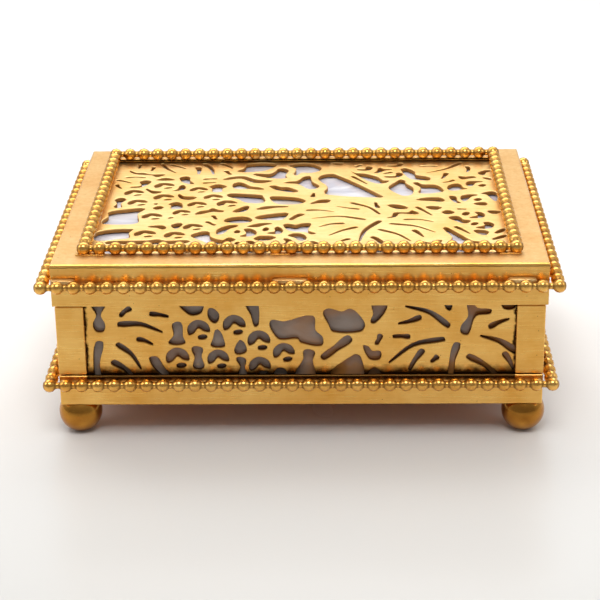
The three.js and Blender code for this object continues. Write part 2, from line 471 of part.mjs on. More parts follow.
// A ball with a small flat below, a flat seat above and a blind hole for its screw.
function footProfile() {
  const top = footHeight - gap;
  const holeDepth = footHeight - screwLength + screwHeadHeight - gap;
  const seat = Math.sqrt(Math.max(footRadius ** 2 - (top - footCentre) ** 2, (2 * screwHoleRadius) ** 2));
  const startAngle = Math.atan2(-footCentre, footFlatRadius);
  const endAngle = Math.atan2(top - footCentre, seat);
  const profile = [new THREE.Vector2(0, 0)];
  for (let i = 0; i <= footSteps; i++) {
    const angle = startAngle + ((endAngle - startAngle) * i) / footSteps;
    profile.push(new THREE.Vector2(footRadius * Math.cos(angle), footCentre + footRadius * Math.sin(angle)));
  }
  profile.push(new THREE.Vector2(screwHoleRadius, top));
  profile.push(new THREE.Vector2(screwHoleRadius, holeDepth));
  profile.push(new THREE.Vector2(0, holeDepth));
  return profile;
}

const screwHeadBottom = floorTop + gap;
const screwProfile = [
  [0, screwHeadBottom - screwLength], [screwRadius, screwHeadBottom - screwLength],
  [screwRadius, screwHeadBottom], [screwHeadRadius, screwHeadBottom],
  [screwHeadRadius, screwHeadBottom + screwHeadHeight], [0, screwHeadBottom + screwHeadHeight],
].map((p) => new THREE.Vector2(...p));

for (const [corner, sx, sy] of corners) {
  const foot = new THREE.LatheGeometry(footProfile(), footSides).rotateX(Math.PI / 2);
  add(`${corner}_foot`, foot, gilt).position.set(sx * footX, sy * footY, 0);
  const screw = new THREE.LatheGeometry(screwProfile, screwSides).rotateX(Math.PI / 2);
  add(`${corner}_foot_screw`, screw, brassPlain).position.set(sx * footX, sy * footY, 0);
}

// ---- Corner posts: angle strips, on which the closed lid comes down ------------------------------
for (const [corner, sx, sy] of corners) {
  const outline = [[0, 0], [postWidth, 0], [postWidth, postThickness], [postThickness, postThickness],
    [postThickness, postWidth], [0, postWidth]];
  const toCorner = ([a, b]) => new THREE.Vector2(sx * (halfW - a), sy * (halfD - b));
  const section = new THREE.Shape(outline.map(toCorner));
  const post = new THREE.ExtrudeGeometry(section, { depth: postHeight, bevelEnabled: false });
  add(`${corner}_post`, post, gilt).position.z = postBottom;
}

// ---- Sides: pierced panels, and glass behind them ------------------------------------------------
const scaleU = (2 * (halfW - postWidth)) / drawnPanel.width;
const scaleV = (lidBottom - bandTop) / drawnPanel.height;
const placedOpenings = panelOpenings.map((ring) => ring.map(([u, v]) =>
  [u * scaleU, bandTop + (v - drawnPanel.bottom) * scaleV]));

const sideReach = halfD - panelInset - grilleThickness - gap;
const sides = [
  { name: 'front', turn: 0, face: halfD, panel: halfW - panelInset, pane: halfW - glassInset },
  { name: 'right', turn: 90, face: halfW, panel: sideReach, pane: halfD - innerInset },
  { name: 'back', turn: 180, face: halfD, panel: halfW - panelInset, pane: halfW - glassInset },
  { name: 'left', turn: 270, face: halfW, panel: sideReach, pane: halfD - innerInset },
];
for (const side of sides) {
  const holder = new THREE.Group();
  holder.rotation.z = THREE.MathUtils.degToRad(side.turn);
  box.add(holder);

  // The extrusion runs along its own +Z, which this turn brings to +Y, into the box.
  const plate = pierced(-side.panel, side.panel, panelBottom, panelTop, placedOpenings);
  plate.rotateX(Math.PI / 2).translate(0, grilleThickness, 0);
  const grille = add(`${side.name}_grille`, plate, giltPierced);
  grille.position.y = panelInset - side.face;
  holder.add(grille);

  const pane = block(-side.pane, side.pane, 0, glassThickness, paneBottom, panelTop);
  const paneMesh = add(`${side.name}_glass`, pane, slagDusk);
  paneMesh.position.y = glassInset - side.face;
  holder.add(paneMesh);
}

// ---- Body rim: a channel over the top edges of panels and glass ----------------------------------
const rimBottom = panelTop + gap;
const rimTop = rimBottom + rimThickness;
const rimOuterW = halfW - panelInset;
const rimOuterD = halfD - panelInset;
const rimInnerW = halfW - innerInset - rimThickness;
const rimInnerD = halfD - innerInset - rimThickness;
add('body_rim', cut(
  block(-rimOuterW, rimOuterW, -rimOuterD, rimOuterD, rimTop - rimSkirt, rimTop),
  block(-rimInnerW, rimInnerW, -rimInnerD, rimInnerD, rimTop - rimSkirt - over, rimTop + over),
  cut(
    block(-rimOuterW - over, rimOuterW + over, -rimOuterD - over, rimOuterD + over,
      rimTop - rimSkirt - over, rimBottom),
    block(-halfW + innerInset, halfW - innerInset, -halfD + innerInset, halfD - innerInset,
      rimTop - rimSkirt - 2 * over, rimTop),
  ),
), brassPlain);

// ---- Lid: cap, pierced panel, glass and the tabs that hold it -------------------------------------
const lidInnerW = lidHalfW - lidWall;
const lidInnerD = lidHalfD - lidWall;
add('lid_frame', cut(
  block(-lidHalfW, lidHalfW, -lidHalfD, lidHalfD, lidBottom, lidLevel),
  block(-lidInnerW, lidInnerW, -lidInnerD, lidInnerD, lidBottom - over, lidLevel - lidTop),
  block(-windowHalfW, windowHalfW, -windowHalfD, windowHalfD, lidBottom, lidLevel + over),
), gilt);

const lidScaleU = (2 * windowHalfW) / drawnLid.width;
const lidScaleV = (2 * windowHalfD) / drawnLid.height;
const lidPlaced = lidOpenings.map((ring) => ring.map(([u, v]) => [u * lidScaleU, v * lidScaleV]));
const lidPlateW = lidInnerW - gap;
const lidPlateD = lidInnerD - gap;
add('lid_grille', pierced(-lidPlateW, lidPlateW, -lidPlateD, lidPlateD, lidPlaced), giltPierced)
  .position.z = lidGrilleTop - grilleThickness;

const lidGlassW = lidInnerW - tabThickness - 2 * gap;
const lidGlassD = lidInnerD - tabThickness - 2 * gap;
add('lid_glass', block(-lidGlassW, lidGlassW, -lidGlassD, lidGlassD, lidGlassBottom, lidGlassTop), slagPale);

// Each tab is soldered to the wall and turned in under the glass.
const tabPlaces = [
  { turn: 0, face: lidInnerD, shift: -windowHalfW / 2 },
  { turn: 0, face: lidInnerD, shift: windowHalfW / 2 },
  { turn: 90, face: lidInnerW, shift: 0 },
  { turn: 180, face: lidInnerD, shift: -windowHalfW / 2 },
  { turn: 180, face: lidInnerD, shift: windowHalfW / 2 },
  { turn: 270, face: lidInnerW, shift: 0 },
];
tabPlaces.forEach(({ turn, face, shift }, index) => {
  const holder = new THREE.Group();
  holder.rotation.z = THREE.MathUtils.degToRad(turn);
  box.add(holder);
  const outline = [[0, 0], [tabReach, 0], [tabReach, tabThickness], [tabThickness, tabThickness],
    [tabThickness, glassThickness + tabThickness], [0, glassThickness + tabThickness]];
  const section = new THREE.Shape(outline.map((p) => new THREE.Vector2(...p)));
  const tab = new THREE.ExtrudeGeometry(section, { depth: tabWidth, bevelEnabled: false });
  tab.rotateX(Math.PI / 2).rotateZ(Math.PI / 2).translate(-tabWidth / 2, 0, 0);
  const mesh = add(`lid_glass_tab_${index + 1}`, tab, brassPlain);
  mesh.position.set(shift, gap - face, lidGlassBottom - gap - tabThickness);
  holder.add(mesh);
});

// ---- Beaded wire ---------------------------------------------------------------------------------
// A string of balls on thin necks, along +X, from its first ball's middle to its last one's.
// Trimmed ends stop clear of the corner balls of the strings they meet. A turn sets the facets.
function beading(length, spaces, trimmed, turn) {
  const pitch = length / spaces;
  const first = trimmed ? 1 : 0;
  const last = trimmed ? spaces - 1 : spaces;
  const start = trimmed ? beadRadius + gap : -beadRadius;
  const profile = [new THREE.Vector2(0, start)];
  if (trimmed) {
    profile.push(new THREE.Vector2(neckRadius, start));
  }
  for (let i = first; i <= last; i++) {
    profile.push(new THREE.Vector2(beadRadius, i * pitch));
    if (i < last) {
      profile.push(new THREE.Vector2(neckRadius, (i + 0.5) * pitch));
    }
  }
  if (trimmed) {
    profile.push(new THREE.Vector2(neckRadius, length - start));
  }
  profile.push(new THREE.Vector2(0, length - start));
  return new THREE.LatheGeometry(profile, beadSides)
    .rotateY(turn)
    .rotateZ(-Math.PI / 2)
    .translate(-length / 2, 0, 0);
}

function beadedFrame(prefix, centreX, centreY, z, nominalPitch, turn) {
  const across = Math.round((2 * centreX) / nominalPitch);
  const deep = Math.round((2 * centreY) / nominalPitch);
  for (const [name, sign] of [['front', -1], ['back', 1]]) {
    const string = beading(2 * centreX, across, false, turn);
    add(`${prefix}${name}_beading`, string, giltBead).position.set(0, sign * centreY, z);
  }
  for (const [name, sign] of [['left', -1], ['right', 1]]) {
    const string = beading(2 * centreY, deep, true, turn).rotateZ(Math.PI / 2);
    add(`${prefix}${name}_beading`, string, giltBead).position.set(sign * centreX, 0, z);
  }
}

const beadOut = beadStandOff + beadRadius;
const cornerOutwards = Math.PI / beadSides;
beadedFrame('base_', halfW + beadOut, halfD + beadOut, footHeight + baseBeadRise, wallBeadPitch,
  cornerOutwards);
beadedFrame('lid_', lidHalfW + beadOut, lidHalfD + beadOut, lidBottom + lidBeadRise, wallBeadPitch,
  cornerOutwards);
beadedFrame('window_', lidHalfW - windowBeadInset, lidHalfD - windowBeadInset,
  lidLevel + gap + beadRadius, windowBeadPitch, 0);

// ---- Hinges ---------------------------------------------------------------------------------------
const hingeY = lidHalfD + gap + knuckleRadius;
const hingeZ = lidBottom;
const leafY = halfD - leafThickness - gap / 3;
const knuckleLength = (hingeWidth - 2 * gap) / 3;
const armTop = lidBottom - 2 * gap;
const armBottom = armTop - leafThickness - gap / 2;
const lidLeafTop = lidBottom + lidBeadRise - beadRadius - gap;

for (const [name, sign] of [['left', -1], ['right', 1]]) {
  const x0 = sign * hingeOffset - hingeWidth / 2;
  const x1 = x0 + hingeWidth;
  const inner0 = x0 + knuckleLength + gap;
  const inner1 = x1 - knuckleLength - gap;
  const bore = along(pinBoreRadius, x0 - over, x1 + over, hingeSides, hingeY, hingeZ);

  const outerKnuckles = [[x0, x0 + knuckleLength], [x1 - knuckleLength, x1]].flatMap(([a, b]) => [
    along(knuckleRadius, a, b, hingeSides, hingeY, hingeZ),
    block(a, b, leafY, hingeY, armBottom, armTop),
  ]);
  add(`${name}_hinge_body_leaf`, cut(join(
    block(x0, x1, leafY, leafY + leafThickness, armTop - leafDrop, armTop),
    ...outerKnuckles,
  ), bore), gilt);

  const lidLeafY = lidHalfD + gap;
  add(`${name}_hinge_lid_leaf`, cut(join(
    block(x0, x1, lidLeafY, lidLeafY + leafThickness, hingeZ + knuckleRadius + gap, lidLeafTop),
    block(inner0, inner1, lidLeafY, lidLeafY + leafThickness, hingeZ + gap, lidLeafTop),
    along(knuckleRadius, inner0, inner1, hingeSides, hingeY, hingeZ),
  ), bore), gilt);

  const pinEnd = hingeWidth / 2 + gap;
  const pinProfile = [
    [0, -pinEnd - pinHeadHeight], [pinHeadRadius, -pinEnd - pinHeadHeight], [pinHeadRadius, -pinEnd],
    [pinRadius, -pinEnd], [pinRadius, pinEnd], [pinHeadRadius, pinEnd],
    [pinHeadRadius, pinEnd + pinHeadHeight], [0, pinEnd + pinHeadHeight],
  ].map((p) => new THREE.Vector2(...p));
  const pin = new THREE.LatheGeometry(pinProfile, hingeSides).rotateZ(Math.PI / 2);
  add(`${name}_hinge_pin`, pin, brassPlain).position.set(sign * hingeOffset, hingeY, hingeZ);
}

export default box;
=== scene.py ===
import math

import bmesh
import bpy
from mathutils import Matrix, Vector, noise
from mathutils.geometry import interpolate_bezier


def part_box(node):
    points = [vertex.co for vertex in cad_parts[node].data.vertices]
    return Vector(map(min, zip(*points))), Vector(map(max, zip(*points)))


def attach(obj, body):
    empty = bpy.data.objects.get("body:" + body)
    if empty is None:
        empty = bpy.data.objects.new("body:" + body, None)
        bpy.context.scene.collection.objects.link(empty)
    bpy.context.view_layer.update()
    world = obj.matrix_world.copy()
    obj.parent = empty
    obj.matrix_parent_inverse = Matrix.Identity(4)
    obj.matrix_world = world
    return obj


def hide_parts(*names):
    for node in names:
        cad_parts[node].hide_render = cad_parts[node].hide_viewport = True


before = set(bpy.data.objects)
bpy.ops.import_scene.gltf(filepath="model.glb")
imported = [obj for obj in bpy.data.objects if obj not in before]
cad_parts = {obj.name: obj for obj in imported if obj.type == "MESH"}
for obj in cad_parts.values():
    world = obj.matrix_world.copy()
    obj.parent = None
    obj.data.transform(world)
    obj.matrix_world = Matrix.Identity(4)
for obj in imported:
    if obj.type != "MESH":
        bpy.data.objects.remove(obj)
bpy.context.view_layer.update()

mm = 0.001

# ---- Tray -------------------------------------------------------------------------------------
# The foundation of the box: a shallow tray of gilt bronze sheet, its edge turned up into a plain
# band and soldered at the corners. Dressed by hand, so it keeps fine level scratches and pits.
tray_low, tray_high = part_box("base_tray")
tray_wall = 1.0 * mm
tray_depth = 6.3 * mm
tray_ease = 0.35 * mm
satin_light = "#F7C873"
satin_warm = "#E8AD53"
# dark brown of the painted shade, and of the panels' darker seams and foot
dark_brown = "#2E1A0A"
gilt_roughness = 0.3
brush_length = 9.0             # hand brushing: a stroke's length and width, in mm. The real one is
brush_width = 0.3              # 0.1 mm wide, drawn coarser here so that it shows
pit_spacing = 2.3              # mm between pits
pit_radius = 0.13              # mm
wear_patch = 11                # mm across a patch where the gold is thin
streak_tint = "#E2C9A0"        # in the brush marks
band_shade_from = 1.5 * mm           # below the band's top edge, where its painted shade begins and where it is full
band_shade_full = 0.7 * mm


def shade(hex_colour):
    """An sRGB hex colour as linear light."""
    channels = [int(hex_colour[i:i + 2], 16) / 255 for i in (1, 3, 5)]
    return [c / 12.92 if c <= 0.04045 else ((c + 0.055) / 1.055) ** 2.4 for c in channels] + [1]


def node(tree, kind, inputs=None, out=0, **settings):
    """Adds one shader node and returns its output out. An input that is another node's socket is
    linked, any other is set. A colour Mix has its factor at 0, its colours at 6 and 7, and out=2."""
    made = tree.nodes.new("ShaderNode" + kind)
    for key, value in settings.items():
        setattr(made, key, value)
    for key, value in (inputs or {}).items():
        if isinstance(value, bpy.types.NodeSocket):
            tree.links.new(value, made.inputs[key])
        else:
            made.inputs[key].default_value = value
    return made.outputs[out]


def new_material(name):
    """A material with its shader tree, and the place on the object in that tree."""
    material = bpy.data.materials.new(name)
    material.use_nodes = True
    return material, material.node_tree, node(material.node_tree, "TexCoord", out="Object")


def gilt_bronze(name, light, warm, roughness, stroke, scratch=0.004, hollow=None, hollow_shade_tone=dark_brown,
                hollow_full=0.45, hollow_most=0.93):
    """Fire-gilt bronze: a thin gold skin over bronze, brushed along one direction, lightly pitted,
    warmer where the gold has worn thin, and darkened with painted shade in its hollows. stroke is
    the size of a brush mark along X, Y and Z in mm, and hollow a 0 to 1 mesh attribute for that shade."""
    material, tree, place = new_material(name)
    drawn_out = node(tree, "Mapping", {"Vector": place, "Scale": [1 / (s * mm) for s in stroke]})
    brushing = node(tree, "TexNoise", {
        "Vector": drawn_out, "Scale": 1, "Detail": 3, "Roughness": 0.65})
    wear = node(tree, "TexNoise", {
        "Vector": place, "Scale": 1 / (wear_patch * mm), "Detail": 5, "Roughness": 0.6})
    worn = node(tree, "MapRange", {"Value": wear, "From Min": 0.35, "From Max": 0.7})
    gold = node(tree, "Mix", {0: worn, 6: shade(light), 7: shade(warm)}, out=2, data_type="RGBA")
    streaked = node(tree, "MapRange", {
        "Value": brushing, "From Min": 0.3, "From Max": 0.75, "To Min": 0, "To Max": 0.35})
    toned = node(tree, "Mix", {0: streaked, 6: gold, 7: shade(streak_tint)},
                 out=2, data_type="RGBA", blend_type="MULTIPLY")
    spots = node(tree, "TexVoronoi", {"Vector": place, "Scale": 1 / (pit_spacing * mm)})
    pits = node(tree, "MapRange", {
        "Value": spots, "From Min": pit_radius / pit_spacing * 0.5,
        "From Max": pit_radius / pit_spacing, "To Min": 0.8, "To Max": 0})
    dark = pits
    # painted shade: darker the deeper a point lies in a hollow, where shade falls
    if hollow:
        depth = node(tree, "Attribute", out="Fac", attribute_name=hollow)
        hollow_shade = node(tree, "MapRange", {
            "Value": depth, "From Min": 0.02, "From Max": hollow_full,
            "To Min": 0, "To Max": hollow_most})
        dark = node(tree, "Math", {0: pits, 1: hollow_shade}, operation="MAXIMUM")
    colour = node(tree, "Mix", {0: dark, 6: toned, 7: shade(hollow_shade_tone)}, out=2, data_type="RGBA")
    rough = node(tree, "MapRange", {
        "Value": brushing, "From Min": 0.25, "From Max": 0.75,
        "To Min": roughness - 0.07, "To Max": roughness + 0.09})
    duller = node(tree, "Math", {0: dark, 1: 0.3, 2: rough}, operation="MULTIPLY_ADD")
    relief = node(tree, "Math", {0: pits, 1: -4, 2: brushing}, operation="MULTIPLY_ADD")
    bump = node(tree, "Bump", {"Height": relief, "Distance": scratch * mm, "Strength": 1})
    shader = tree.nodes["Principled BSDF"]
    shader.inputs["Metallic"].default_value = 1
    tree.links.new(colour, shader.inputs["Base Color"])
    tree.links.new(duller, shader.inputs["Roughness"])
    tree.links.new(bump, shader.inputs["Normal"])
    return material


def block(bm, low, high):
    """Adds a plain block between two corners."""
    corners = bmesh.ops.create_cube(bm, size=1)["verts"]
    bmesh.ops.scale(bm, verts=corners, vec=Vector(high) - Vector(low))
    bmesh.ops.translate(bm, verts=corners, vec=(Vector(high) + Vector(low)) / 2)
    return corners


def shift(bm, vec):
    """Moves a whole mesh."""
    bmesh.ops.translate(bm, verts=bm.verts, vec=vec)


def turn_about(bm, degrees, axis):
    """Turns a whole mesh about the origin."""
    matrix = Matrix.Rotation(math.radians(degrees), 3, axis)
    bmesh.ops.rotate(bm, verts=bm.verts, cent=(0, 0, 0), matrix=matrix)


def side_of(bm, direction):
    """The face that looks most nearly in a direction, and furthest out."""
    way = Vector(direction)
    for face in bm.faces:
        face.normal_update()
    facing = [face for face in bm.faces if face.normal.dot(way) > 0.99]
    return max(facing, key=lambda face: face.calc_center_median().dot(way))


def margin(bm, face, width):
    """Insets a face, which leaves a flat margin round it."""
    bmesh.ops.inset_region(bm, faces=[face], thickness=width, use_even_offset=True)
    return face


def sink(bm, face, travel):
    """Pushes a face straight up or down and leaves upright walls behind it."""
    pushed = bmesh.ops.extrude_discrete_faces(bm, faces=[face])["faces"][0]
    bmesh.ops.translate(bm, verts=pushed.verts, vec=(0, 0, travel))
    return pushed


def break_edges(bm, width, segments=3, chosen=None):
    """Rounds over the sharp edges of sheet work, as a file and a burnisher leave them."""
    bmesh.ops.recalc_face_normals(bm, faces=bm.faces)
    sharp = [e for e in bm.edges if e.is_manifold and e.calc_face_angle() > math.radians(40)]
    if chosen:
        sharp = [e for e in sharp if chosen(e)]
    bmesh.ops.bevel(bm, geom=sharp, offset=width, segments=segments, profile=0.5,
                    affect="EDGES", clamp_overlap=True, material=-1)


def place_piece(bm, name, material, body, slot, *nodes, crease=35, even=True):
    """Makes the finished piece from its mesh, smooth but for its creases, and fixes it to its body.
    With no crease angle the mesh keeps the sharp edges that it was made with."""
    mesh = bpy.data.meshes.new(name)
    bm.to_mesh(mesh)
    bm.free()
    mesh.polygons.foreach_set("use_smooth", [True] * len(mesh.polygons))
    if crease:
        mesh.set_sharp_from_angle(angle=math.radians(crease))
    mesh.materials.append(material)
    made = bpy.data.objects.new(name, mesh)
    bpy.context.scene.collection.objects.link(made)
    if even:
        flats = made.modifiers.new("flat faces stay flat", "WEIGHTED_NORMAL")
        flats.keep_sharp = True
    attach(made, body)
    if nodes:
        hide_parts(*nodes)
    return made


def darken(material, parts_of_it):
    """Lays a dark brown over a finish: painted shade on the band and the lid's walls, darker seams and foot
    on the panels.
    parts_of_it is given the shader tree and the place on the object, and returns the socket that holds how
    much of the dark brown there is."""
    tree = material.node_tree
    shader = tree.nodes["Principled BSDF"]
    undarkened = shader.inputs["Base Color"].links[0].from_socket
    place = node(tree, "TexCoord", out="Object")
    darkened = node(tree, "Mix", {0: parts_of_it(tree, place), 6: undarkened, 7: shade(dark_brown)},
                  out=2, data_type="RGBA")
    tree.links.new(darkened, shader.inputs["Base Color"])


def ragged(tree, place, grain, reach):
    """A height that wanders by reach either way, in metres, for the torn edge of a darkened patch."""
    speck = node(tree, "TexNoise", {"Vector": place, "Scale": 1 / grain, "Detail": 4})
    return node(tree, "MapRange", {
        "Value": speck, "From Min": 0.3, "From Max": 0.7, "To Min": -reach, "To Max": reach})


def band_painted_shade(tree, place):
    """Painted shade on the top edge of the band, behind the beading, between the corner strips."""
    parts = node(tree, "SeparateXYZ", {"Vector": place}).node.outputs
    wander = ragged(tree, place, 1.2 * mm, 0.3 * mm)
    height = node(tree, "Math", {0: parts["Z"], 1: wander}, operation="ADD")
    edge = node(tree, "MapRange", {
        "Value": height, "From Min": tray_high.z - band_shade_from, "From Max": tray_high.z - band_shade_full,
        "To Min": 0, "To Max": 0.93})
    strips_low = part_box("back_right_post")[0]
    between = []
    for axis, strip_edge in (("X", strips_low.x), ("Y", strips_low.y)):
        out = node(tree, "Math", {0: parts[axis]}, operation="ABSOLUTE")
        inside = node(tree, "Math", {0: out, 1: strip_edge}, operation="LESS_THAN")
        between.append(inside)
    either = node(tree, "Math", dict(enumerate(between)), operation="MAXIMUM")
    return node(tree, "Math", {0: edge, 1: either}, operation="MULTIPLY")


level = (brush_length, brush_length, brush_width)
gilt_satin = gilt_bronze("brushed gilt bronze", satin_light, satin_warm, gilt_roughness, level)
gilt_band = gilt_bronze("brushed gilt bronze, painted shade above", satin_light, satin_warm, gilt_roughness, level)
# painted shade along the band's top edge, behind the beading
darken(gilt_band, band_painted_shade)
bare_bronze = gilt_bronze("bare brown bronze", "#DD9238", "#C47A2A", 0.5, (4, 4, 4))

bm = bmesh.new()
block(bm, tray_low, tray_high)
sink(bm, margin(bm, side_of(bm, (0, 0, 1)), tray_wall), -tray_depth)
break_edges(bm, tray_ease)
for face in bm.faces:
    face.normal_update()
    face.material_index = 1 if face.normal.z < -0.95 else 0
place_piece(bm, "tray", gilt_band, "body", "gilt_bronze", "base_tray").data.materials.append(bare_bronze)

# ---- Ball feet --------------------------------------------------------------------------------
# Four turned bronze balls, polished and gilt, screwed on from inside the tray. Handling has kept
# the sides bright, and each stands on a small flat.
foot_radius = 5.05 * mm
foot_flat = 1.5 * mm
foot_top = tray_low.z
foot_roughness = 0.2
foot_wear = (6, 6, 1.2)
gilt_polished = gilt_bronze("polished gilt bronze", "#C58D3C", "#996223", foot_roughness, foot_wear, 0.002)
foot_middle = math.sqrt(foot_radius ** 2 - foot_flat ** 2)
corner_names = {"front_left": (-1, -1), "front_right": (1, -1), "back_left": (-1, 1), "back_right": (1, 1)}

for corner in corner_names:
    low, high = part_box(f"{corner}_foot")
    centre = (low + high) / 2
    bm = bmesh.new()
    bmesh.ops.create_uvsphere(bm, u_segments=48, v_segments=28, radius=foot_radius)
    shift(bm, (centre.x, centre.y, foot_middle))
    for level_z, outwards in ((0, -1), (foot_top, 1)):
        everything = bm.verts[:] + bm.edges[:] + bm.faces[:]
        bmesh.ops.bisect_plane(bm, geom=everything, plane_co=(0, 0, level_z), plane_no=(0, 0, outwards),
                               clear_outer=True)
        rim = [edge for edge in bm.edges if edge.is_boundary]
        bmesh.ops.holes_fill(bm, edges=rim, sides=0)
    place_piece(bm, f"{corner}_ball_foot", gilt_polished, "body", "gilt_bronze", f"{corner}_foot")

# ---- Corner strips ----------------------------------------------------------------------------
# Angle strips of gilt bronze, folded from sheet and soldered over the corners. They hold the
# pierced panels, and the lid comes down on their upper ends. The panels are darker along their inner edges.
strip_thickness = 0.9 * mm
strip_width = 6.5 * mm
strip_ease = 0.28 * mm

for corner, (side, way) in corner_names.items():
    low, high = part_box(f"{corner}_post")
    outer_x, outer_y = max(abs(low.x), abs(high.x)), max(abs(low.y), abs(high.y))
    section = ((0, 0), (strip_width, 0), (strip_width, strip_thickness), (strip_thickness, strip_thickness),
               (strip_thickness, strip_width), (0, strip_width))
    bm = bmesh.new()
    bm.faces.new([bm.verts.new((side * (outer_x - a), way * (outer_y - b), low.z)) for a, b in section])
    raised = bmesh.ops.extrude_face_region(bm, geom=bm.faces[:])["geom"]
    top = [part for part in raised if isinstance(part, bmesh.types.BMVert)]
    bmesh.ops.translate(bm, verts=top, vec=(0, 0, high.z - low.z))
    break_edges(bm, strip_ease)
    place_piece(bm, f"{corner}_corner_strip", gilt_satin, "body", "gilt_bronze", f"{corner}_post")

# ---- Pierced side panels ----------------------------------------------------------------------
# Four panels of gilt bronze plate, pierced with a vine: leaves with open veins, and grapes shown
# by a crescent over a small oval. The design is sawn and filed by hand, so each opening has a
# softly rounded lip, and painted shade darkens the walls of the cuts.
drawn_steps = 4                # straight steps between two drawn points
swell = 0.3                    # how far a curve's handles reach, of the distance between points
lip = 0.18 * mm
edge_margin = 0.8              # mm of metal left at a plate's edge
plate_thickness = 1.0 * mm


def hole(*uv):
    """An opening through a few drawn points."""
    return [[(uv[i], uv[i + 1]) for i in range(0, len(uv), 2)]]


def slit(u0, v0, u1, v1, bow, width, tip=0.35):
    """A bowed leaf vein with one blunt end."""
    length = math.hypot(u1 - u0, v1 - v0)
    du, dv = (u1 - u0) / length, (v1 - v0) / length

    def at(t, off):
        out = 4 * bow * t * (1 - t) + off
        return u0 + du * length * t - dv * out, v0 + dv * length * t + du * out

    w = width / 2
    return [[at(0, w), at(0.5, w * 0.85), at(1, tip / 2), at(1, -tip / 2), at(0.5, -w * 0.85), at(0, -w)]]


def berry(u, v, radius=2.6, tilt=15):
    """A grape: a crescent over a small oval."""
    turn = math.radians(tilt)

    def at(a, b):
        return (u + radius * (a * math.cos(turn) - b * math.sin(turn)),
                v + radius * (a * math.sin(turn) + b * math.cos(turn)))

    arc = [at(math.sin(math.radians(d)), math.cos(math.radians(d))) for d in (-105, -55, 0, 55, 105)]
    crescent = arc + [at(0.5, -0.2), at(0, 0.2), at(-0.5, -0.2)]
    turns = [i * 2 * math.pi / 5 for i in range(5)]
    return [crescent, [at(0.2 + 0.44 * math.cos(a), -0.7 + 0.24 * math.sin(a)) for a in turns]]


def smooth_line(ring):
    """The closed curve through a ring of points, in metres."""
    points = [Vector((u * mm, v * mm, 0)) for u, v in ring]
    count = len(points)
    heading = [(points[(i + 1) % count] - points[i - 1]).normalized() for i in range(count)]
    line = []
    for i, start in enumerate(points):
        j = (i + 1) % count
        reach = (points[j] - start).length * swell
        line += interpolate_bezier(start, start + heading[i] * reach, points[j] - heading[j] * reach,
                                   points[j], drawn_steps + 1)[:-1]
    return line


def pierced_plate(left, right, bottom, top, openings):
    """A flat plate, its face at height 0, with every opening that fits inside its edges. The vertex
    attribute cut runs from 0 on the face to 1 at the back of each opening."""
    def fits(ring):
        return all(left + edge_margin < u < right - edge_margin
                   and bottom + edge_margin < v < top - edge_margin for u, v in ring)

    bm = bmesh.new()
    away = bm.verts.layers.float_vector.new("away")
    cut = bm.verts.layers.float.new("cut")
    corners = [(left, bottom), (right, bottom), (right, top), (left, top)]
    lines = [[Vector((u * mm, v * mm, 0)) for u, v in corners]]
    lines += [smooth_line(ring) for ring in openings if fits(ring)]
    for number, line in enumerate(lines):
        turning = sum(a.x * b.y - b.x * a.y for a, b in zip(line, line[1:] + line[:1]))
        outer = number == 0
        if (turning < 0) != outer:
            line.reverse()
        ring = []
        for i, point in enumerate(line):
            run = line[(i + 1) % len(line)] - line[i - 1]
            metal = Vector((run.y, -run.x, 0)).normalized()
            vert = bm.verts.new(point + metal * lip)
            vert[away] = metal
            ring.append(vert)
        for i, vert in enumerate(ring):
            bm.edges.new((vert, ring[(i + 1) % len(ring)]))
    border = bm.edges[:]
    bmesh.ops.triangle_fill(bm, use_beauty=True, use_dissolve=False, edges=border, normal=(0, 0, 1))
    for edge in border:
        edge.smooth = False
    half_turn = math.sqrt(0.5)
    steps = ((half_turn * lip, (1 - half_turn) * lip), ((1 - half_turn) * lip, half_turn * lip),
             (0, plate_thickness - lip))
    for inwards, down in steps:
        made = bmesh.ops.extrude_edge_only(bm, edges=border)["geom"]
        fresh = {part for part in made if isinstance(part, bmesh.types.BMVert)}
        border = [part for part in made
                  if isinstance(part, bmesh.types.BMEdge) and fresh.issuperset(part.verts)]
        for vert in fresh:
            vert.co -= vert[away] * inwards
            vert.co.z -= down
    for edge in border:
        edge.smooth = False
    bmesh.ops.triangle_fill(bm, use_beauty=True, use_dissolve=False, edges=border, normal=(0, 0, -1))
    bmesh.ops.recalc_face_normals(bm, faces=bm.faces)
    # cut also sets the painted shade that darkens each opening's walls, more deeply further in
    for vert in bm.verts:
        vert[cut] = -vert.co.z / plate_thickness
    bm.verts.layers.float_vector.remove(away)
    return bm


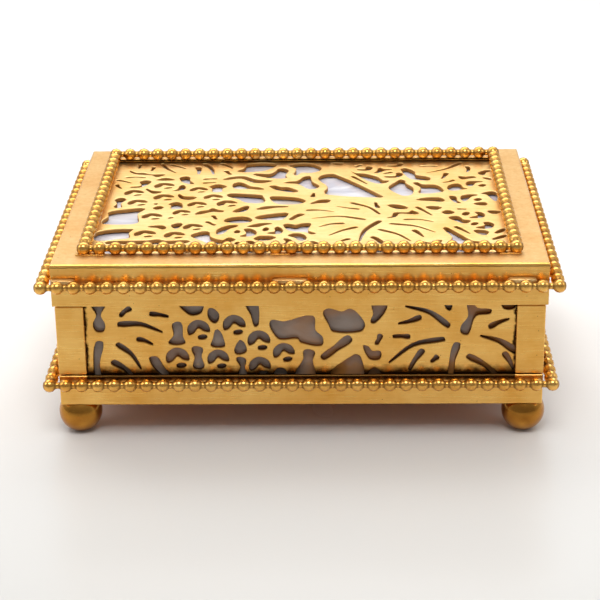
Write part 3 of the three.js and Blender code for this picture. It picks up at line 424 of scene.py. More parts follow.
# drawn in mm: u from the panel's middle to the right, v up from drawing_foot
panel_openings = sum([
    # left leaf
    hole(-47.8, 33.7, -44.6, 33.5, -45.7, 30.6, -44.8, 28.2, -45.3, 26.5, -46.9, 26.5, -47.6, 28.2,
        -46.7, 30.6),
    slit(-38.8, 32.3, -41.2, 30.4, -0.2, 1.1, 0.8),
    slit(-34.3, 30.9, -30.2, 30.2, 0.1, 1, 0.5),
    slit(-41.7, 28.3, -31.7, 26.3, 1, 1.2),
    slit(-37.5, 24.6, -34, 23.2, 0.2, 1),
    slit(-42.2, 23.3, -37, 17, 0.8, 1.1),
    slit(-43.5, 18.8, -38.6, 14.2, 0.6, 1.3, 0.8),
    slit(-46.3, 23.7, -47, 13.8, -0.6, 1.7, 1.1),
    # grapes and the gaps between them
    hole(-27.5, 33.4, -22.3, 33.6, -22.5, 31.2, -24.6, 30.4, -26.2, 31.3),
    hole(-20.6, 32.2, -18.5, 30.7, -19.4, 28.5, -21, 29.9),
    berry(-23.3, 26.7, 2.6, 10),
    berry(-15.1, 27.9, 2.6, 10),
    berry(-9.5, 24, 2.6, 8),
    berry(-28.4, 19.6, 2.7, 8),
    berry(-19, 19.3, 2.5, 8),
    berry(-9.4, 17.4, 2.5, 8),
    berry(-3.8, 20.9, 2.5, 12),
    hole(-29.3, 28.3, -27.3, 28.6, -27, 25.2, -26.6, 23.4, -30.3, 23.4, -29.1, 25.4),
    hole(-19, 26.9, -17.4, 23.6, -17.6, 22.5, -20.5, 22.7, -20.1, 24.4),
    hole(-12.4, 33.8, -9.8, 33.9, -9.5, 28.2, -10.4, 27.6, -11.2, 30.4),
    hole(-25, 22.3, -22.6, 22.2, -22.9, 20, -22.4, 17.2, -24.8, 17.2, -24.4, 19.8),
    hole(-14, 24.1, -12.9, 23.5, -12.5, 21.2, -15.1, 20.9),
    hole(-14.8, 19.6, -12.7, 19.4, -12.9, 17, -12.4, 15, -14.3, 15.2, -13.9, 17.4),
    hole(-35, 19.6, -33.2, 20, -31.9, 17.8, -30.6, 14.6, -33.4, 16.4),
    hole(-29.8, 14, -28, 15.7, -26.2, 14),
    hole(-20.2, 14, -18.7, 15.7, -17, 14),
    hole(-5.9, 14.6, -5.6, 16.8, -3.8, 16.9, -3.2, 14.6),
    # the large gaps round the stem
    hole(-7, 28, -6.4, 29.2, -3.6, 28.8, 3, 30.2, 3.5, 26.6, 5.2, 24.8, 4.8, 22.7, 0.2, 23.5,
        -0.6, 24.5, -4.6, 24.3, -6, 25.7),
    hole(-1.2, 14.4, 3.2, 14.4, 2.8, 19, 3.3, 21.2, 0.9, 21.6, 0.7, 19.4),
    slit(11.4, 24.6, 5.1, 19.6, 0, 1.8, 1.3),
    hole(5.3, 31, 6.6, 32, 9.6, 31.2, 11.4, 31.9, 13, 31, 14.9, 28, 13.8, 26.2, 7.6, 26.2, 6.5, 28.2),
    hole(16.6, 33.3, 19.8, 33.2, 19.4, 31, 17.2, 28.4, 16.2, 28.6, 16.8, 30.6),
    slit(18.5, 25.4, 17.5, 23.1, 0.1, 1.1, 0.8),
    hole(14.5, 22.6, 15.7, 22.4, 16.6, 21.3, 18.5, 21.2, 18.4, 19.4, 17.2, 19, 15.8, 19.5),
    hole(6.8, 14.4, 12.4, 20.4, 13.9, 19.8, 14.2, 14.4),
    hole(15.8, 14.4, 16.6, 17, 18, 16.6, 18.9, 14.4),
    # right leaf
    slit(34.1, 27.6, 24.2, 32.5, -1.1, 1.2),
    slit(27.6, 29.8, 22.6, 28.2, 0.2, 1.1),
    slit(25.1, 24.9, 21.4, 25, -0.1, 1, 0.7),
    slit(33, 24.3, 20.5, 18.4, -1.7, 1.1),
    slit(28.2, 21.5, 25.2, 16.6, -0.2, 1.2, 0.6),
    slit(31.7, 19.9, 30.2, 18.5, 0, 1.1, 0.6),
    slit(36.1, 23.1, 34.8, 14.6, -0.4, 1.5, 1),
    hole(38.4, 33.8, 40.6, 32, 43.7, 31.6, 43.4, 30.6, 40.2, 30, 38.6, 25.5, 37, 25.8, 36.9, 27.5,
        38.5, 30),
    slit(43.4, 27.3, 47.8, 29.3, 0.2, 1.1),
    slit(49.6, 21.2, 41.4, 25.1, -0.7, 1.4),
    slit(47, 20.7, 49.2, 16.6, 0.2, 1.2),
    slit(38.7, 20, 45.9, 14.4, 0.6, 1.3, 0.8),
    hole(46.1, 33.5, 49.2, 33.7, 48.9, 31.9, 46.6, 31.8),
    hole(33, 33.3, 34.6, 33.4, 34.2, 31.4),
], [])

# painted shade darkens the walls of the openings, more deeply towards their back
gilt_pierced = gilt_bronze("brushed and pierced gilt bronze", satin_light, satin_warm, gilt_roughness, level,
                           hollow="cut", hollow_shade_tone="#864D1C", hollow_full=0.3, hollow_most=0.9)
panel_turns = {"front": 0, "right": 90, "back": 180, "left": 270}
drawing_foot = -0.4 * mm       # height at which the panels' drawing starts
seam_dark_width = 0.75 * mm          # widths of the darkening beside the corner strips and above the band
foot_dark_band = 2.2 * mm
foot_dark_full = 0.4 * mm
front_reach = 3 * mm           # how far in the seams' darkening runs at the front and back, from the strips' faces, and at the sides, from the front panel's ends
side_reach = 1.5 * mm          # strips' faces, and at the sides, from the front panel's ends


def panel_darkening(tree, place):
    """Darkens a panel along its upright seams, and in a wider band above the beading at its foot."""
    strip_low, strip_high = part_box("back_right_post")
    panel_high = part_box("front_grille")[1]
    parts = node(tree, "SeparateXYZ", {"Vector": place}).node.outputs
    wander = ragged(tree, place, 1.6 * mm, 0.5 * mm)
    height = node(tree, "Math", {0: parts["Z"], 1: wander}, operation="ADD")
    dirt = node(tree, "MapRange", {
        "Value": height, "From Min": tray_high.z + foot_dark_full, "From Max": tray_high.z + foot_dark_band,
        "To Min": 0.95, "To Max": 0})
    faces = (("X", strip_low.x, "Y", strip_high.y - front_reach),
             ("Y", strip_low.y, "X", panel_high.x - side_reach))
    for axis, strip_edge, facing, face_from in faces:
        across = node(tree, "Math", {0: parts[axis]}, operation="ABSOLUTE")
        shifted = node(tree, "Math", {0: across, 1: wander}, operation="ADD")
        beyond = node(tree, "Math", {0: shifted, 1: strip_edge}, operation="SUBTRACT")
        apart = node(tree, "Math", {0: beyond}, operation="ABSOLUTE")
        line = node(tree, "MapRange", {
            "Value": apart, "From Min": 0.15 * mm, "From Max": seam_dark_width,
            "To Min": 1, "To Max": 0})
        outward = node(tree, "Math", {0: parts[facing]}, operation="ABSOLUTE")
        here = node(tree, "Math", {0: outward, 1: face_from}, operation="GREATER_THAN")
        seam = node(tree, "Math", {0: line, 1: here}, operation="MULTIPLY")
        dirt = node(tree, "Math", {0: dirt, 1: seam}, operation="MAXIMUM")
    return dirt


darken(gilt_pierced, panel_darkening)

for side, turn in panel_turns.items():
    low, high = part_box(f"{side}_grille")
    across = "x" if side in ("front", "back") else "y"
    half = (getattr(high, across) - getattr(low, across)) / 2 / mm
    face = -max(abs(low.y), abs(high.y)) if across == "x" else -max(abs(low.x), abs(high.x))
    bm = pierced_plate(-half, half, (low.z - drawing_foot) / mm, (high.z - drawing_foot) / mm, panel_openings)
    turn_about(bm, 90, "X")
    shift(bm, (0, face, drawing_foot))
    turn_about(bm, turn, "Z")
    place_piece(bm, f"{side}_pierced_panel", gilt_pierced, "body", "gilt_pierced_bronze", f"{side}_grille",
                crease=None, even=False)

# ---- Side glass -------------------------------------------------------------------------------
# One pane of smoky slag glass behind each panel, rolled opalescent sheet: milky grey glass that
# was stirred with amber before it was rolled, so soft bands of colour run through it.


def slag_glass(name, body_tint, milk_tint, amber_tint, band, amber_share, roughness=0.12):
    """Opalescent sheet glass. band is the width of its stirred bands in mm along X, Y and Z."""
    material, tree, place = new_material(name)
    drawn_out = node(tree, "Mapping", {
        "Vector": place, "Scale": [1 / (s * mm) for s in band], "Rotation": (0, 0, math.radians(12))})
    stirred = node(tree, "TexNoise", {
        "Vector": drawn_out, "Scale": 1, "Detail": 4, "Roughness": 0.55, "Distortion": 1.4})
    milk = node(tree, "MapRange", {
        "Value": stirred, "From Min": 0.38, "From Max": 0.62})
    apart = node(tree, "Mapping", {
        "Vector": place, "Scale": [0.6 / (s * mm) for s in band], "Location": (3.1, 1.7, 0.4)})
    second = node(tree, "TexNoise", {
        "Vector": apart, "Scale": 1, "Detail": 3, "Distortion": 0.8})
    streak = node(tree, "MapRange", {
        "Value": second, "From Min": 0.62 - amber_share, "From Max": 0.78 - amber_share})
    milky = node(tree, "Mix", {0: milk, 6: shade(body_tint), 7: shade(milk_tint)}, out=2, data_type="RGBA")
    colour = node(tree, "Mix", {0: streak, 6: milky, 7: shade(amber_tint)}, out=2, data_type="RGBA")
    # rolled glass is never quite flat
    ripple = node(tree, "TexNoise", {"Vector": place, "Scale": 1 / (7 * mm), "Detail": 1})
    bump = node(tree, "Bump", {"Height": ripple, "Distance": 0.1 * mm, "Strength": 1})
    shader = tree.nodes["Principled BSDF"]
    shader.inputs["Roughness"].default_value = roughness
    shader.inputs["IOR"].default_value = 1.52
    tree.links.new(colour, shader.inputs["Base Color"])
    tree.links.new(bump, shader.inputs["Normal"])
    return material


def finish_node(name, material):
    """Gives a carried-over solid its real finish."""
    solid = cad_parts[name]
    solid.data.materials.clear()
    solid.data.materials.append(material)


dusk_glass = slag_glass("smoky slag glass", "#8B786A", "#9C8C80", "#B0763C", (16, 16, 11), 0.11)
for side in panel_turns:
    finish_node(f"{side}_glass", dusk_glass)

# ---- Inner fittings ---------------------------------------------------------------------------
# The parts that only an open lid shows: the floor pan that grips the foot of the glass, and the
# folded rim that closes panel and glass together. Bent from thin brass and left as it came.
inner_ease = 0.15 * mm
plain_brass = gilt_bronze("dull sheet brass", "#C2A05A", "#9C7A3C", 0.42, (5, 5, 0.6), 0.003)


def eased_copy(cad_node, width):
    """A copy of a solid with its seams merged and its edges broken."""
    bm = bmesh.new()
    bm.from_mesh(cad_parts[cad_node].data)
    bmesh.ops.remove_doubles(bm, verts=bm.verts, dist=0.001 * mm)
    bmesh.ops.dissolve_limit(bm, angle_limit=math.radians(1), verts=bm.verts, edges=bm.edges)
    break_edges(bm, width, segments=2)
    return bm


for cad_node, name in (("floor_pan", "inner_pan"), ("body_rim", "inner_rim")):
    place_piece(eased_copy(cad_node, inner_ease), name, plain_brass, "body", "inner_brass", cad_node)
for corner in corner_names:
    finish_node(f"{corner}_foot_screw", plain_brass)

# ---- Lid frame --------------------------------------------------------------------------------
# The cap of the lid: a flat frame round the window and four plain walls, folded from one sheet
# of gilt bronze. The fold at the top is burnished to a bright line.
lid_low, lid_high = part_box("lid_frame")
lid_wall = 1.0 * mm
lid_top = 0.8 * mm
window_inset = 7.2 * mm
fold_radius = 0.5 * mm
lid_ease = 0.2 * mm
lip_width = 0.7 * mm           # painted shade: a dark margin that the beading half covers, for its shadow
line_below = 0.75 * mm         # from the top down to the painted shade line under the fold
line_core = 0.05 * mm          # half widths of that line where it is full and where it ends
line_end = 0.22 * mm
# its hollow lip is painted shade at the window's margin and walls, under the beading
gilt_matte = gilt_bronze("matt gilt bronze", "#DBB981", "#D5A869", 0.5, (1.2, 1.2, 1.2), 0.006,
                         hollow="lip", hollow_full=0.4)
gilt_lid = gilt_bronze("brushed gilt bronze, lid", satin_light, satin_warm, gilt_roughness, level)


def fold_shade_line(tree, place):
    """A thin line of painted shade below the burnished fold."""
    height = node(tree, "SeparateXYZ", {"Vector": place}, out="Z")
    wander = ragged(tree, place, 2 * mm, 0.06 * mm)
    drifting = node(tree, "Math", {0: height, 1: wander}, operation="ADD")
    line = lid_high.z - line_below
    away = node(tree, "Math", {0: drifting, 1: line}, operation="SUBTRACT")
    apart = node(tree, "Math", {0: away}, operation="ABSOLUTE")
    return node(tree, "MapRange", {
        "Value": apart, "From Min": line_core, "From Max": line_end,
        "To Min": 0.75, "To Max": 0})


# painted shade: a dark line under the fold
darken(gilt_lid, fold_shade_line)

bm = bmesh.new()
block(bm, lid_low, lid_high)
window = margin(bm, side_of(bm, (0, 0, 1)), window_inset - lip_width)
margin(bm, window, lip_width)
under = sink(bm, margin(bm, side_of(bm, (0, 0, -1)), lid_wall), lid_high.z - lid_low.z - lid_top)
margin(bm, under, window_inset - lid_wall)
openings = list(window.edges) + list(under.edges)
bmesh.ops.delete(bm, geom=[window, under], context="FACES_ONLY")
bmesh.ops.bridge_loops(bm, edges=openings)
break_edges(bm, fold_radius, 4, lambda e: all(
    abs(v.co.z - lid_high.z) < 1e-6 and max(abs(v.co.x) - lid_high.x, abs(v.co.y) - lid_high.y) > -1e-6
    for v in e.verts))
break_edges(bm, lid_ease, 2, lambda e: e.calc_length() > 2 * mm and e.calc_face_angle() > math.radians(80))
# lip marks the window's margin and walls, where painted shade stands for the beading's shadow
window_margin_shade = bm.verts.layers.float.new("lip")
for vert in bm.verts:
    beyond = max(abs(vert.co.x) - lid_high.x + window_inset, abs(vert.co.y) - lid_high.y + window_inset)
    vert[window_margin_shade] = 1 if beyond < 0.05 * mm else 0
for face in bm.faces:
    face.normal_update()
    in_window = all(vert[window_margin_shade] > 0.5 for vert in face.verts)
    face.material_index = 1 if face.normal.z > 0.95 or in_window else 0
lid_cap = place_piece(bm, "lid_cap", gilt_lid, "lid", "gilt_bronze", "lid_frame")
lid_cap.data.materials.append(gilt_matte)

# ---- Pierced lid panel ------------------------------------------------------------------------
# The vine again, larger, on one plate soldered under the window: a bunch of grapes to the left,
# an open leaf in the front half, a second bunch to the right.
# drawn in mm from the middle of the window: u to the right, v to the back
lid_openings = sum([
    # left leaf, behind the cluster
    slit(-43, 33.4, -43.1, 29.8, 0, 0.8),
    slit(-39.3, 31, -39.7, 27.8, 0.1, 0.9),
    slit(-37.4, 33.6, -33.2, 26.2, -0.5, 1),
    slit(-35.2, 33, -30.8, 29.4, 0.2, 1.1),
    slit(-27.7, 30.8, -27.2, 25, 0.2, 1.3),
    slit(-26.2, 33.4, -23.3, 24.8, 0.7, 1.3),
    slit(-21.8, 33.4, -18.6, 29.4, 0.4, 1.3),
    slit(-20.3, 27.6, -18.9, 24.6, 0, 1.1, 0.7),
    hole(-45.4, 28.2, -43.6, 26.6, -41.6, 26.5, -39.4, 25.2, -36, 25.2, -36.2, 24, -37.9, 22.9,
        -39.2, 24.3, -43.6, 25.3),
    slit(-45.7, 22.5, -40.8, 22.5, 0.5, 0.9, 0.7),
    slit(-47.9, 20.6, -43.9, 18.2, 0.2, 0.9),
    slit(-47.6, 17.2, -46.1, 14, -0.2, 0.9),
    slit(-25.5, 21, -22.3, 21.3, 0.1, 1.1, 0.9),
    slit(-25.5, 18, -22.3, 18.5, 0, 1.1, 0.6),
    # left cluster
    hole(-37.8, 20.3, -36.8, 21.8, -35.3, 22.3, -33.8, 21.7, -33.1, 20.3),
    berry(-35.3, 15.9, 2.6, 20),
    berry(-42.5, 10.6, 2.5, 20),
    berry(-26.3, 12.7, 2.3, 10),
    berry(-34.7, 7.1, 2.6, 20),
    berry(-22.3, 7, 2.4, 12),
    berry(-40.9, 3.3, 2.5, 20),
    berry(-26, 1.6, 2.4, 15),
    berry(-18.6, 2.3, 2.6, 25),
    berry(-36.4, -6.7, 2.5, 15),
    berry(-29.4, -4.1, 2.2, 20),
    berry(-25.9, -14.2, 2.4, 20),
    berry(-37, -18.7, 2.6, 15),
    berry(-29.9, -19.7, 2.5, 20),
    hole(-41.9, 19.2, -40.4, 20.6, -38.9, 19.4, -39.9, 16.6, -41.4, 14.8, -43.7, 14.6, -43.8, 15.5,
        -41.8, 15.9, -41.2, 17),
    hole(-23.8, 15.2, -21.6, 17.2, -19.3, 15.2, -20.4, 13.6, -20.5, 11.2, -22.8, 11.2, -22.9, 13.6),
    hole(-46.8, 5.6, -45.4, 7.2, -44, 5.8, -45, 2.8, -44.5, 0.2, -45.6, -0.6, -46.5, 0.5, -45.9, 2.8),
    hole(-36.7, -0.4, -35.2, 1, -34.1, -0.4, -35.6, -1.9),
    hole(-36.8, 2.5, -36.2, 3.1, -35.8, 2.2, -36.3, 1.7),
    hole(-33.1, 2.2, -31.5, 3.8, -30, 3, -29.7, -1.1, -32.2, -1.1, -32.3, 0.9),
    hole(-31.2, 9.7, -29.7, 8.1, -26.7, 7.6, -26.7, 6.2, -28.4, 5.1, -30.4, 6.2),
    hole(-30.9, 16.8, -29.8, 15, -30.3, 12.7, -32.8, 12.1, -31.7, 13.6),
    hole(-39.8, 14, -38.1, 12.5, -35.6, 11.7, -36, 10.5, -37.6, 10, -38.7, 11.4),
    hole(-31.8, 22.5, -30.3, 23.6, -29.2, 22.4, -29.1, 20.2, -27.9, 17.4, -29.6, 17.6, -31.1, 19.2),
    hole(-48.2, -9.4, -47, -6.4, -47.3, -3.2, -43.2, -1.3, -38.7, -0.8, -40.1, -4.8, -39.3, -10.6,
        -41, -12, -47.6, -11.8),
    hole(-48.3, -17, -40.3, -15.1, -40.9, -18, -40.5, -21.3, -43, -22.1, -48.3, -22.8),
    hole(-45.8, -24, -44, -23.2, -36, -22.9, -33.6, -22.2, -31.6, -23.2, -26.8, -22.9, -25.9, -24,
        -28, -25.4, -45, -25.4),
    hole(-32.4, -7.7, -31.7, -7, -31, -7.6, -32.2, -8.3),
    hole(-25.7, -5.6, -25.1, -3, -23, -2.1, -22, -0.8, -20.4, -2, -19.1, -2.7, -19.5, -3.9, -21.8, -3.6),
    slit(-21.6, -6.2, -20.6, -8.9, 0, 0.9, 0.6),
    slit(-22.9, -10.4, -20.7, -13, 0, 1, 0.8),
    hole(-36.8, -13.8, -34.4, -12.8, -33, -13, -32.3, -14.7, -32.9, -15.8, -34.4, -14.7),
    hole(-31.1, -12.3, -28.7, -11.4, -29.6, -15.2, -30.7, -14.6),
    hole(-25.9, -20.4, -25.5, -18.5, -22.2, -17, -21.3, -20.6, -18.4, -22.8, -16.9, -21.2,
        -15.3, -22.7, -17, -24.8,
        -20.4, -25.8, -23, -23.6),
    hole(-19.9, -15.6, -17.8, -13.2, -15.4, -12.7, -15.3, -14, -17.2, -15.8, -18.4, -18.6, -19.8, -19.3),
    # middle, clockwise from the back left
    hole(-17.2, 26.9, -15.4, 30, -14.6, 33.4, -7.4, 33.2, -9.3, 28.2, -13, 26.6),
    hole(-13, 25.1, -8.9, 25.2, -7.4, 27, -6.1, 29.8, -4, 27.8, -4.7, 23.8, -4.3, 21.8, -6, 21.1,
        -10, 22.2),
    hole(-3.8, 31.2, -2.4, 33.3, 1.8, 33.4, 4.4, 30, 4.2, 27.4, 2, 25.6, -0.6, 25.7, -1.8, 23.6,
        -2.5, 24.6, -2, 29),
    hole(-20.4, 20.3, -19.5, 22.3, -15.4, 23.4, -12, 20.7, -7.9, 19.8, -8.3, 18.8, -10.6, 17.6,
        -12.8, 18.1, -16, 21.2),
    hole(-17.8, 17.5, -16, 18.6, -13.2, 15.5, -10.8, 14.5, -9.9, 12.6, -14, 13.3, -17.2, 13.6),
    hole(-8.6, 15.3, -7.2, 16, -5.6, 14.8, -3.6, 14.6, -1.3, 10.8, -6.2, 12),
    hole(-5, 17.7, -3.8, 18.8, -1.6, 19.4, 0.2, 22.8, 1.6, 23.3, 2.2, 19, 4.1, 15.5, 3.4, 13.4,
        1.6, 12.9, -1.4, 16.8),
    hole(3.8, 21.4, 5.2, 24.3, 8.2, 24.5, 20.1, 7.2, 19.4, 6.2, 6.4, 8.5, 5.4, 11, 6.3, 14.4, 4.2, 19.4),
    slit(12.5, 22.8, 16.3, 16.6, 0, 0.9),
    slit(2.5, 7, 2.8, 10, 0, 1),
    hole(-18.9, 9.2, -17.8, 10.1, -10.7, 8.9, -10, 8, -9.6, 3, -13.8, 3, -16, 5.6, -18.5, 7.4),
    hole(-8.2, 6.8, -7.4, 7.8, -1.2, 6.6, 0.8, 4.2, -0.2, 2.2, -3, 1.4, -6.4, 2.2),
    hole(2, 1.8, 3.4, 4.1, 4.8, 5.1, 6.9, 4.8, 6.2, 2.6, 3.8, 2.2),
    hole(-17, -3.4, -15.4, -0.8, -13.6, 0.8, -13, 0, -13.7, -3.1, -15.8, -4.2),
    hole(-11.2, -1.9, -9.8, 0, -7.6, 0.6, -3.6, 0.4, -3.5, -0.5, -6.5, -0.9, -9.6, -2.2),
    hole(-11.3, -7.8, -10.2, -6.2, -4, -4.2, -3.2, -5.2, -4.8, -9.4, -7, -9.6, -10.6, -8.9),
    hole(0.8, -5.6, -0.6, -5, -1.8, -6.4, -3, -8.9, -2.4, -9.8, -1, -7.8),
    slit(1.2, -2.7, 7.8, -3.9, 0.6, 1),
    slit(14, -2.1, 8.5, 0.1, 0.2, 0.9),
    slit(12.1, 2.6, 19, -5.8, 1.2, 1.1, 0.6),
    slit(15.3, -9.4, 2.5, -8.6, -1.9, 1.1),
    slit(10.2, -12, 4.3, -14.4, -0.7, 1.1),
    slit(13.3, -14.6, 6.7, -20.2, -0.5, 1.1),
    slit(18.9, -10.4, 13.8, -24.2, -1.2, 1.3),
    hole(-18.3, -10.9, -17.9, -8, -13.3, -7.1, -12.2, -10.8),
    hole(-15.1, -16.2, -14.4, -17.8, -15.2, -18.6, -15.9, -17.8),
    hole(-13.6, -15.6, -11.9, -15.3, -10.5, -17.8, -11, -20, -13.6, -21, -14.4, -20.3, -12.9, -18.6),
    hole(-8.4, -14.4, -7.6, -15.8, -8.4, -17.2, -9.2, -16.6),
    hole(-6.3, -15, -5.5, -14, -4.3, -16.6, -5, -19, -7.8, -18.9, -7.7, -18, -6.2, -17.3),
    hole(-12.9, -13.9, -9.8, -11.6, -7, -11.9, -8.8, -13.2, -10.6, -14.5),
    hole(-4.3, -12.8, -3.2, -12, -1.3, -12.8, 0.2, -11.8, 2.3, -11.9, 1.7, -16.6, 3.6, -18.7,
        2.6, -19.6, 1.2, -18, -2.7, -17),
    hole(-3, -20.2, -1.8, -18.7, 0.2, -18.9, 1.4, -21.4, 0.8, -23.6, -0.3, -23.6, -1.3, -21.8),
    hole(-11, -22.2, -9.6, -20.2, -5.9, -20.9, -7.2, -23.2, -9.8, -23.5),
    hole(-12.8, -23.8, -11.3, -23.6, -10.3, -25.8, -11.6, -25.8),
    hole(-14.6, -24, -13.8, -25.4, -14.8, -26.2, -15.4, -25.2),
    hole(-6, -23.3, -5, -24.4, -6, -26, -6.5, -24.8),
    hole(-4, -22.2, -2.6, -22.4, -1.8, -24.4, -2.6, -26.6, -4.3, -26.2, -3.4, -24.4),
    hole(-0.5, -26, 1.8, -24.2, 3, -23.8, 4.5, -25.6, 3.6, -26.6, 2.2, -25.2),
    slit(11.5, -22.4, 8.4, -26, -0.4, 1.1),
    # right leaf and right cluster
    hole(16.4, -21.8, 17.1, -20.8, 18.4, -22.1, 19.8, -25.6, 18.8, -26, 17.6, -23.6),
    slit(18.6, -16.3, 25.8, -24.2, 1, 1.1),
    slit(21.4, -12.4, 31.9, -18.4, 1.4, 1.1),
    slit(24.8, -9.6, 31.7, -11.2, 0.8, 0.9, 0.5),
    slit(26.8, -16.8, 28.9, -21.5, 0.1, 1.2),
    hole(20.7, -8.3, 21.9, -7.2, 22.6, -4.6, 25.9, -4.5, 27, -3.1, 28.3, -5.9, 23.8, -5.6,
        22.8, -7.7, 21, -8.7),
    slit(28.1, -0.7, 31.6, -6.8, 0.1, 1),
    hole(30.4, -0.5, 34.2, -0.8, 32.5, -3),
    hole(34.1, -4.6, 35.6, -3, 37.2, -4.6, 36.2, -6, 34.9, -6),
    slit(38.1, -2.4, 40.1, -2.5, 0, 1, 0.8),
    hole(40.5, -4.4, 40.8, -5.6, 39.8, -7.2, 38.9, -6.4, 39.4, -4.8),
    hole(42.2, -4.6, 43.8, -4.8, 44.4, -6.8, 43.6, -8.6, 40.8, -8.9, 40.8, -8, 42.7, -6.8),
    hole(35.5, -8.2, 37.8, -7.3, 39, -9.6, 40.7, -10.4, 39.4, -12.6, 37.4, -11.2),
    hole(45.3, -3.8, 48.3, -3.8, 48.3, -5, 46.6, -6.2),
    hole(40.6, -13.6, 41.1, -12, 42.3, -11.8, 42.3, -13, 41.3, -14),
    hole(43.7, -12, 45, -11.4, 46.1, -13.2, 45.4, -15.6, 43.8, -16.4, 41.8, -15.8, 41.9, -15,
        43.9, -13.8),
    slit(36.8, -14.6, 40, -19.6, 0.1, 1.1),
    hole(33.8, -15.9, 34.5, -14.9, 35.5, -16.1, 40.2, -24, 42.2, -24.9, 41.4, -26, 35.2, -25.6,
        35.7, -21.8),
    hole(41, -17.2, 44.2, -17.5, 43.9, -20.2, 42.8, -20.5),
    hole(48.3, -15.9, 48.1, -18, 46.3, -19.6, 45.8, -18.9),
    hole(48.2, -20.2, 48.2, -21.8, 45.2, -23.8, 44.9, -23),
    hole(28, -24.3, 30.4, -25.2, 31.5, -23.8, 33, -23.6, 32.9, -24.8, 30.4, -26.6),
    hole(12.1, 26.9, 13.6, 25.4, 15.9, 24.9, 18.8, 22.6, 20.5, 19.5, 21.9, 19.2, 20.8, 17.2,
        18.6, 17, 15.6, 20.4),
    hole(16.6, 30.9, 17.8, 30, 17.4, 27.8, 16, 27.1, 13.9, 27.6, 13.9, 28.4, 15.9, 28.7),
    slit(15, 31.6, 13.4, 30.2, 0, 1.1, 0.7),
    hole(18.2, 25.4, 19, 27, 19.7, 29.6, 20.8, 28.7, 23, 28, 21, 27, 19.2, 25.2),
    slit(22.8, 25.8, 20.7, 24.7, 0, 1.1, 0.7),
    hole(23.9, 25.2, 24.9, 25.6, 25.6, 23.9, 24.6, 22, 22.6, 21.3, 20.8, 21.8, 20.9, 22.6, 23.7, 23.1),
    hole(24.9, 33.4, 26, 32.8, 25.4, 30.8, 24, 30, 21.7, 30.5, 21.8, 31.3, 24.2, 31.8),
    hole(25.2, 28.1, 26.6, 29.2, 28.7, 26.2, 28.9, 23.9, 32, 22.1, 32.5, 20.2, 31.8, 19, 28, 20,
        26.9, 21.4),
    hole(24, 18.9, 25, 20.1, 26, 18.9, 26, 17.4, 27.8, 13.6, 27.4, 8.8, 26.2, 7.6, 24.8, 7.7, 21.6, 13.6),
    hole(27.9, 17.2, 29, 18, 30.2, 16.3, 33.6, 15.9, 35.1, 13, 35.1, 10.4, 29.3, 9.3, 29.8, 13.4),
    hole(36.8, 15.1, 39.3, 16.8, 40.5, 13.7, 41.5, 12.8, 40.2, 12, 37, 11.3),
    slit(34.7, 30.4, 30.2, 30.3, -0.3, 0.9, 0.6),
    slit(41.2, 33.4, 31.9, 25.2, 1, 1.2),
    slit(42.5, 30.2, 42.2, 25.6, 0.4, 1),
    slit(36.9, 25, 35.4, 20.4, 0.1, 1.1),
    slit(38.5, 19.4, 35.6, 17.5, 0.3, 1, 0.7),
    hole(39.9, 22.5, 41.6, 22, 43.6, 22.4, 44.3, 21.2, 42.4, 20.4, 40.5, 19.8),
    hole(45.9, 21.2, 47.9, 20.7, 47.7, 19.1),
    hole(41.3, 16, 42, 18.3, 44.4, 18.7, 45.8, 18, 43.8, 16.9, 43, 15, 42.1, 14.3),
    hole(44.3, 14.8, 45.5, 16.2, 46.4, 15.6, 45.3, 13.9),
    hole(48.2, 27.2, 46.6, 26.8, 45.1, 25.2, 45.3, 23.5, 46.4, 23.2, 47, 24.9, 48.2, 25.9),
    hole(44.7, 9.1, 48.2, 10.3, 48.2, 4, 47.6, 3.2, 46, 7.8),
    hole(39.3, 5.2, 39.8, 7.5, 42, 8.5, 43.8, 7.9, 42.1, 6.6, 40.9, 4.2, 40, 3.1),
    hole(42.5, 4.2, 43.6, 5.6, 44.6, 4.9, 43.4, 3.2),
    hole(36.6, 7.2, 38.1, 7, 38.4, 3.6, 39.2, 2.1, 38.4, 1.8, 37.3, 3.2),
    hole(28.2, 4.7, 33.8, 6.4, 35.3, 4.1, 34.5, 2.9, 32, 3.4),
    hole(42.4, 1.8, 44.8, 2.7, 45.6, 1.6, 45, 0, 42.6, 0.7),
    slit(18.7, -1.2, 18.1, 2.8, 0.1, 1, 0.5),
    hole(20.9, 0.6, 22, 1.4, 24.4, 0.8, 26, -1.1, 25.4, -2.2, 23.2, -2.1),
    hole(7, 33.4, 8.4, 32, 10.2, 32.4, 10.4, 33.4),
    # front strip, under the beading
    hole(-47.6, -27.1, -43.2, -27.4, -42.3, -31.5, -46.8, -32.6),
    slit(-39.4, -27.4, -34.4, -32, 0.6, 1.3),
    slit(-35, -27.3, -29.2, -31, 0.6, 1.2),
    berry(-24.4, -30.4, 2.3, 15),
    berry(-18, -29.8, 2.4, 10),
    hole(-13.9, -27.8, -11.4, -28.2, -10.6, -31.6, -13, -32.6, -14.7, -30.4),
    berry(-6.6, -30.4, 2.3, 15),
    hole(-2.4, -28.8, 0.6, -28.4, 1.4, -30.6, -0.6, -32.6, -2.8, -31.4),
    slit(6.9, -27.4, 3.6, -32.6, -0.4, 1.2),
    slit(13.2, -26.4, 11.2, -32.8, -0.4, 1.4, 0.7),
    hole(15.6, -28, 18.8, -28.4, 20.2, -32.2, 16.4, -32.7),
    slit(21.8, -27.2, 26, -32.4, 0.5, 1.2),
    slit(25.4, -27.6, 31.6, -31.6, 0.5, 1.1),
    hole(34.4, -27.8, 38.8, -28.2, 40.2, -31.2, 36.2, -32.6),
    berry(44.4, -30.2, 2.3, -15),
], [])

